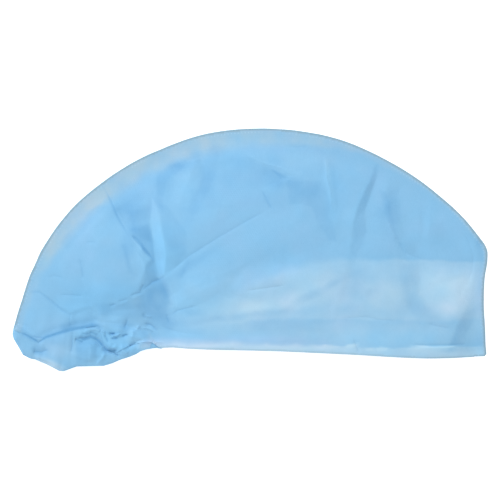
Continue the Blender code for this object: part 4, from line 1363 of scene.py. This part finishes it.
def make_seam():
    """The welded flange round the crown and forehead, with its row of weld spots."""
    outside = points_along(SEAM_LINE, SEAM_STATIONS)
    across = to_the_right(outside)
    insets = np.linspace(0, FLANGE_WIDTH, FLANGE_COLUMNS)
    run = lengths_along(outside)
    rounded = np.minimum(insets / FLANGE_ROUND, 1)
    half = FLANGE_THICK / 2 * np.sqrt(1 - (1 - rounded) ** 2)
    to_weld = np.hypot(
        (run[:, None] + WELD_PITCH / 2) % WELD_PITCH - WELD_PITCH / 2,
        insets[None] - WELD_INSET,
    )
    dent = WELD_DEPTH * np.exp(-((to_weld / WELD_RADIUS) ** 2))
    outer = 1 - insets / FLANGE_WIDTH
    flutter = wavering(run, FLUTTER)
    ripple = wavering(run, RIPPLE)
    rings = []
    for side in (1, -1):
        for k in range(FLANGE_COLUMNS)[::side]:
            reach = insets[k] + ripple * outer[k]
            point = outside + across * reach[:, None]
            rise = side * (half[k] + FLANGE_LEAST - dent[:, k])
            rings.append(np.column_stack([point, SEAM_HEIGHT + flutter * outer[k] + rise]))
    points = np.stack(rings, axis=1)
    piece = make_sheet("seam", points, (run[-1], 2 * FLANGE_WIDTH), closed_round=True)
    # rim: painted shade along the flange's outer edge
    rim = 1 - ease(np.concatenate([insets, insets[::-1]]) / RIM_WIDTH - RIM_START)
    paint(piece, pale=FLANGE_PALE, rim=np.broadcast_to(rim, points.shape[:2]))
    select_only(piece)
    bpy.ops.object.mode_set(mode="EDIT")
    bpy.ops.mesh.select_all(action="SELECT")
    bpy.ops.mesh.fill_holes(sides=0)
    bpy.ops.mesh.normals_make_consistent(inside=False)
    bpy.ops.object.mode_set(mode="OBJECT")
    bpy.ops.object.shade_smooth_by_angle(angle=math.radians(FLANGE_DEGREES))
    return piece


class Hollow:
    """The space between the two panels, measured on the panels themselves."""

    def __init__(self, upper, lower):
        self.above = Surface(upper)
        self.below = Surface(lower)

    def span(self, x, y):
        """The floor and the ceiling at a point, each a gap away from its panel."""
        floor = self.below.height(x, y) + LINING_GAP
        ceiling = self.above.height(x, y, down=False) - LINING_GAP
        return floor, ceiling

    def nose(self, lift, thickness):
        """The furthest X at which a doubled strip still fits at a height above the mouth."""
        x = FRONT_BORDER[:, 0].max()
        while x > HEM_START:
            floor, ceiling = self.span(x - thickness, panel_edge(x) + lift)
            if ceiling - floor > 2 * thickness + LINING_GAP:
                return x
            x -= LINING_GAP
        return x


def lining_points(hollow, rows, thickness, start=None):
    """The points of a strip inside both panels that turns inside the forehead seam.

    Each row gives its height above the mouth, its distance in from the panels and its reach
    behind the forehead, which isn't used where the strip starts at an X.
    """
    found = []
    turn = half_turn(BEND_STATIONS)
    for lift, inset, reach in rows:
        looked = max(lift, 2 * CLOTH)
        last = hollow.nose(looked, thickness) - NOSE_LENGTH
        leg = np.linspace(last - reach if start is None else start, last, LINING_STATIONS)
        bend = last + (NOSE_LENGTH - inset) * np.sin(turn)
        straight = np.ones(LINING_STATIONS)
        line = []
        for x, down in zip([*leg, *bend, *leg[::-1]], [*straight, *np.cos(turn), *-straight]):
            floor, ceiling = hollow.span(x, panel_edge(x) + looked)
            height = (ceiling + floor) / 2 - down * ((ceiling - floor) / 2 - inset)
            line.append((x, panel_edge(x) + lift, max(height, 0)))
        found.append(line)
    return np.array(found).swapaxes(0, 1)


def make_hem(hollow):
    """The cloth turned in along the mouth, with its rolled lip."""
    rows = [(row.up * LIP, row.inset * LINING_GAP, 0) for row in LIP_ROWS]
    rows += [(lift, 0, 0) for lift in np.linspace(TURN_LOWEST, HEM_HEIGHT, TURN_ROWS)]
    points = lining_points(hollow, rows, CLOTH, start=HEM_START)
    piece = make_sheet("hem_strip", points, (HEM_LENGTH, HEM_HEIGHT))
    paint(piece, pale=HEM_PALE)
    thicken(piece, HEM_CLOTH, 1)
    return piece


def make_sweatband(hollow):
    """The absorbent band inside the forehead, with its slanting ends."""
    rows = []
    for up in np.linspace(0, 1, BAND_LEVELS):
        share = np.interp(up, [row.up for row in BAND_ROWS], [row.reach for row in BAND_ROWS])
        rows.append((BAND_LIFT + up * BAND_HEIGHT, 0, share * BAND_REACH))
    points = lining_points(hollow, rows, BAND_THICK)
    piece = make_sheet("forehead_band", points, (2 * BAND_REACH, BAND_HEIGHT))
    paint(piece, pale=BAND_PALE)
    thicken(piece, BAND_THICK, 1)
    return piece


def casing_leg(solid, stations):
    """The stations of one leg of the nape: each one's X, top and ruffle Y, low and high Z."""
    x = np.linspace(NAPE_BEND_X, CASING_END, stations)
    top = panel_edge(x) - LAY_GAP / 2
    ruffle = np.minimum(np.interp(x, *RUFFLE_EDGE.T), top - CASING_LEAST)
    levels = []
    for down, inward in ((False, 1), (True, -1)):
        face = solid.heights(x, (top + ruffle) / 2, down)[:, None]
        face = smoothed(face, stations * LEG_SMOOTHING)[:, 0]
        levels.append(face + inward * CASING_DEPTH / 2)
    return x, top, ruffle, *levels


def casing_path(solid):
    """The stations round the nape: each one's X, top and ruffle Y, height and heading.

    The heading is 0 on the lower leg, which runs to the nape, and pi on the upper leg.
    """
    below_x, below_top, below_ruffle, low, _ = casing_leg(solid, CASING_BELOW)
    x, top, ruffle, _, high = casing_leg(solid, CASING_STATIONS)
    turn = half_turn(2 * BEND_STATIONS)
    radius, centre = (high[0] - low[0]) / 2, (high[0] + low[0]) / 2
    parts = (
        (below_x[::-1], x[0] - radius * np.sin(turn), x),
        (below_top[::-1], top[0] + NAPE_FILL * np.sin(turn), top),
        (below_ruffle[::-1], ruffle[0] + 0 * turn, ruffle),
        (low[::-1], centre - radius * np.cos(turn), high),
        (0 * below_x, turn, 0 * x + np.pi),
    )
    return np.stack([np.concatenate(part) for part in parts], axis=1)


def casing_top(x, y):
    """The height of the upper face of the casing, between its top and its ruffle."""
    leg = casing_leg(Surface(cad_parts["back_casing"]), CASING_STATIONS)
    top, ruffle, _, high = (np.interp(x, leg[0], part) for part in leg[1:])
    drop = np.clip((top - y) / (top - ruffle), 0, 1)
    bulge = np.sqrt(1 - (1 - 2 * drop) ** 2)
    dip = np.maximum(cloth_rise(x, y), -CASING_DEPTH / 2)
    return high + bulge**CASING_FLATNESS * CASING_DEPTH / 2 + bulge**FACE_FLATNESS * dip


def make_casing():
    """The gathered tunnel round the nape, puckered by the elastic."""
    path = casing_path(Surface(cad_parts["back_casing"]))
    x, top, ruffle, height, heading = path.T
    face_turn = np.arccos(np.linspace(1, -1, CASING_FACE + 1))[:-1]
    turn = np.append(face_turn, np.linspace(np.pi, 2 * np.pi, CASING_BACK, endpoint=False))
    bulge = np.abs(np.sin(turn))
    drop = (1 - np.cos(turn)) / 2
    y = top[:, None] + (ruffle - top)[:, None] * drop
    run = lengths_along(np.column_stack([x, height]))
    pucker = over_plan(
        lambda along, down: noise.noise(Vector((along, down, 0))),
        *np.meshgrid(run / PUCKER_LENGTH, drop * PUCKERS_ACROSS, indexing="ij"),
    )
    out = np.sign(np.sin(turn)) * bulge**CASING_FLATNESS * CASING_DEPTH / 2
    spread = out + PUCKER_HEIGHT * pucker * np.sqrt(bulge) * np.sign(out)
    px = x[:, None] - spread * np.sin(heading)[:, None]
    pz = height[:, None] - spread * np.cos(heading)[:, None]
    tip = np.interp(y, TIP_LINE[:, 1], TIP_LINE[:, 0]) + np.abs(spread) * TIP_ROUNDING
    px = np.maximum(px, tip)
    upper = np.clip((heading - np.pi / 2) / (np.pi / 2), 0, 1)[:, None]
    face = np.clip(np.sin(turn), 0, 1) ** FACE_FLATNESS
    pz = pz + upper * face * np.maximum(cloth_rise(px, y), -CASING_DEPTH / 2)
    points = np.dstack([px, y, np.maximum(pz, 0)])
    piece = make_sheet("nape_casing", points, CASING_WEAVE, closed_round=True)
    shown = upper * ease(SHOWN_STEEPNESS * np.sin(turn) + 1)
    paint(
        piece,
        pale=shown * np.clip(patched(PALE_PATCHES, px, y), 0, 1),
        # tone: painted shade and painted light, shown on the upper face
        tone=shown * painted_shade_and_light_share(px, y),
        tint=shown * tint_share(px, y),
    )
    thicken(piece, CLOTH, -1)
    return piece


def make_elastic():
    """The flat elastic inside the casing."""
    path = casing_path(Surface(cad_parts["back_casing"]))[::2]
    path = path[path[:, 0] < ELASTIC_END]
    x, top, _, height, heading = path.T
    height = height + ELASTIC_DROP * np.cos(heading)
    edges = [top - ELASTIC_INSET, top - ELASTIC_INSET - ELASTIC_WIDTH]
    points = np.stack([np.column_stack([x, edge, height]) for edge in edges], axis=1)
    piece = make_sheet("elastic", points, (ELASTIC_LENGTH, ELASTIC_WIDTH))
    paint(piece, pale=0)
    thicken(piece, ELASTIC_THICK, 0)
    return piece


class Value:
    """A socket of a shader, used in arithmetic."""

    def __init__(self, finish, socket):
        self.finish = finish
        self.socket = socket

    def math(self, operation, *others):
        """This value and others through a Math node."""
        return self.finish.math(operation, self, *others)

    def __add__(self, other):
        return self.math("ADD", other)

    def __sub__(self, other):
        return self.math("SUBTRACT", other)

    def __rsub__(self, other):
        return self.finish.math("SUBTRACT", other, self)

    def __mul__(self, other):
        return self.math("MULTIPLY", other)

    def __truediv__(self, other):
        return self.math("DIVIDE", other)

    def __mod__(self, other):
        return self.math("FLOORED_MODULO", other)

    def __pow__(self, other):
        return self.math("POWER", other)

    __radd__ = __add__
    __rmul__ = __mul__


class Finish:
    """A procedural material that is written as expressions."""

    def __init__(self, name):
        self.material = bpy.data.materials.new(name)
        self.material.use_nodes = True
        self.tree = self.material.node_tree
        self.shader = self.tree.nodes["Principled BSDF"]

    def node(self, kind, settings=None, inputs=None, output=0):
        """A node of a type, with its settings and then its sockets' values or links."""
        node = self.tree.nodes.new(kind)
        for name, value in (settings or {}).items():
            setattr(node, name, value)
        for key, value in (inputs or {}).items():
            self.join(node.inputs[key], value)
        return Value(self, node.outputs[output])

    def join(self, socket, value):
        """Links a value to a socket, or sets the socket."""
        if isinstance(value, Value):
            self.tree.links.new(value.socket, socket)
        else:
            socket.default_value = value

    def shade(self, inputs):
        """Joins values to the shader's own sockets."""
        for name, value in inputs.items():
            self.join(self.shader.inputs[name], value)

    def math(self, operation, *values):
        """A Math node."""
        inputs = dict(enumerate(values))
        return self.node("ShaderNodeMath", {"operation": operation}, inputs)

    def attribute(self, name):
        """A float attribute of the piece."""
        return self.node("ShaderNodeAttribute", {"attribute_name": name}, output="Fac")

    def noise(self, where, web):
        """Soft noise, about 0.5."""
        inputs = {
            "Vector": where,
            "Scale": web.scale,
            "Detail": web.detail,
            "Roughness": web.roughness,
        }
        return self.node("ShaderNodeTexNoise", None, inputs)

    def blend(self, share, first, second, way="MIX"):
        """A colour between two colours, or one that the second is laid over."""
        inputs = {0: share, 6: first, 7: second}
        settings = {"data_type": "RGBA", "clamp_factor": True, "blend_type": way}
        return self.node("ShaderNodeMix", settings, inputs, output=2)

    def spread(self, value, low, high, new_low=0.0, new_high=1.0):
        """A value moved smoothly from one range to another."""
        inputs = {0: value, 1: low, 2: high, 3: new_low, 4: new_high}
        return self.node("ShaderNodeMapRange", {"interpolation_type": "SMOOTHSTEP"}, inputs)


def cast(colour, scales):
    """A colour with each of its parts scaled."""
    return tuple(min(1, part * scale) for part, scale in zip(colour, scales)) + (1,)


def bond_points(finish, flat):
    """The small oval spots where the fibres are pressed together, in a staggered grid."""
    along = finish.node("ShaderNodeSeparateXYZ", None, {0: flat})
    across = Value(finish, along.socket.node.outputs[1])
    row = (across / BOND_RISE).math("FLOOR")
    shift = (row % 2.0) * (BOND_PITCH / 2)
    from_side = ((along + shift) % BOND_PITCH) - BOND_PITCH / 2
    from_row = (across % BOND_RISE) - BOND_RISE / 2
    away = ((from_side / BOND_HALF_WIDTH) ** 2.0) + ((from_row / BOND_HALF_HEIGHT) ** 2.0)
    return 1.0 - finish.spread(away, *BOND_EDGE)


def weld_points(finish):
    """The row of round spots pressed along the seam."""
    across = (finish.attribute("from_seam") - WELD_INSET) / WELD_RADIUS
    along = ((finish.attribute("along_seam") % WELD_PITCH) - WELD_PITCH / 2) / WELD_RADIUS
    return 1.0 - finish.spread(across**2.0 + along**2.0, *WELD_EDGE)


def cloth_finish(name, colours):
    """Spunbonded cloth: a web of fine fibres, mottled, and pressed in small spots."""
    full, pale_colour = colours
    finish = Finish(name)
    where = finish.node("ShaderNodeTexCoord", output="Object")
    flat = finish.node("ShaderNodeUVMap", {"uv_map": "flat"})
    stretched = finish.node("ShaderNodeMapping", None, {"Vector": flat, "Scale": FIBRE_STRETCH})
    cloud = finish.noise(where, CLOUDS)
    mottle = finish.noise(where, MOTTLE)
    fibre = finish.noise(stretched, FIBRES)
    pale = finish.attribute("pale")
    strip = finish.attribute("strip")
    tint = finish.attribute("tint")
    # The tone attribute holds painted shade below zero and painted light above zero
    painted_light_and_shade = finish.attribute("tone")
    uneven = cloud - 0.5
    mixed = pale + uneven * PALE_UNEVEN * (pale * MORE_WHERE_PALE + LEAST_UNEVEN)
    tone = finish.blend(mixed, full, pale_colour)
    grey = strip + uneven * STRIP_UNEVEN * strip
    tone = finish.blend(grey, tone, cast(full, GREY_CAST))
    tone = finish.blend(tint, tone, VIOLET_LIGHT, "MULTIPLY")
    tone = finish.blend(0.0 - tint, tone, COLD_LIGHT, "MULTIPLY")
    # Painted shade, then painted highlight
    tone = finish.blend((0.0 - painted_light_and_shade) * PAINTED_SHADE_SHARE, tone, cast(full, PAINTED_SHADE_CAST))
    tone = finish.blend(painted_light_and_shade, tone, PAINTED_HIGHLIGHT, "MULTIPLY")
    density = finish.spread(mottle * MOTTLE_PART + fibre * (1 - MOTTLE_PART), *WEB_RANGE)
    web = finish.blend(density, cast(full, THIN_CAST), cast(full, DENSE_CAST))
    tone = finish.blend(WEB_SHARE, tone, web)
    weld = weld_points(finish) * WELD_SHARE * finish.spread(cloud, *WELD_CLOUD)
    tone = finish.blend(weld, tone, WELD_COLOUR)
    # Painted shade along the cut edges
    tone = finish.blend(finish.attribute("rim") * PAINTED_RIM_SHADE_SHARE, tone, PAINTED_RIM_SHADE_COLOUR)
    height = fibre * FIBRE_BUMP + mottle * MOTTLE_BUMP - bond_points(finish, flat) * BOND_BUMP
    bump = {"Strength": BUMP_STRENGTH, "Distance": BUMP_HEIGHT, "Height": height}
    finish.shade({
        "Base Color": tone,
        "Roughness": finish.spread(fibre, *FIBRE_RANGE, SMOOTHEST, ROUGHEST),
        "Sheen Weight": SHEEN,
        "Sheen Roughness": SHEEN_ROUGHNESS,
        "Specular IOR Level": SPECULAR,
        "Normal": finish.node("ShaderNodeBump", None, bump),
    })
    return finish.material


def make_floor():
    """The pale floor under the cap."""
    bpy.ops.object.select_all(action="DESELECT")
    bpy.ops.mesh.primitive_plane_add(size=FLOOR_SIZE, location=(0, 0, -FLOOR_DROP))
    floor = bpy.context.active_object
    floor.name = "floor"
    white = Finish("floor_white")
    white.shade({
        "Base Color": FLOOR_COLOUR,
        "Roughness": FLOOR_ROUGHNESS,
        "Emission Color": WHITE,
        "Emission Strength": FLOOR_GLOW,
    })
    floor.data.materials.append(white.material)


def make_light():
    """A soft square light that faces the cap."""
    bpy.ops.object.select_all(action="DESELECT")
    bpy.ops.object.light_add(type="AREA", location=KEY_PLACE)
    light = bpy.context.active_object
    light.name = "key"
    light.data.shape = "SQUARE"
    light.data.size = KEY_SIZE
    light.data.energy = KEY_POWER
    light.rotation_euler = Vector(KEY_PLACE).to_track_quat("Z", "Y").to_euler()


def make_stage():
    """Floor, soft studio light and the camera straight above."""
    make_floor()
    world = bpy.data.worlds.new("studio")
    world.use_nodes = True
    back = world.node_tree.nodes["Background"]
    back.inputs["Color"].default_value = WHITE
    back.inputs["Strength"].default_value = STUDIO_LIGHT
    bpy.context.scene.world = world
    make_light()
    bpy.context.scene.view_settings.view_transform = "Standard"
    height = SEAM_HEIGHT + FRAME_WIDTH * LENS / SENSOR
    bpy.ops.object.camera_add(location=(AIM[0], AIM[1], height), rotation=(0, 0, 0))
    camera = bpy.context.active_object
    camera.data.lens = LENS
    camera.data.sensor_width = SENSOR
    camera.data.clip_start = NEAR_CLIP
    bpy.context.scene.camera = camera


def main():
    """The whole picture."""
    plan = panel_plan()
    casing = make_casing()
    upper = make_right_panel(plan, casing)
    lower = make_left_panel(plan)
    seam = make_seam()
    hollow = Hollow(upper, lower)
    hem = make_hem(hollow)
    band = make_sweatband(hollow)
    elastic = make_elastic()
    blue = cloth_finish("nonwoven_blue", BLUE)
    welded = cloth_finish("welded_pale_blue", WELDED_BLUE)
    absorbent = cloth_finish("absorbent_white", ABSORBENT_WHITE)
    white = cloth_finish("elastic_white", ELASTIC_WHITE)
    finish_piece(upper, "right_panel", blue)
    finish_piece(lower, "left_panel", blue)
    finish_piece(seam, "crown_seam", welded)
    finish_piece(hem, "hem", welded)
    finish_piece(band, "sweatband", absorbent)
    finish_piece(casing, "back_casing", blue)
    finish_piece(elastic, "back_elastic", white)
    make_stage()


main()
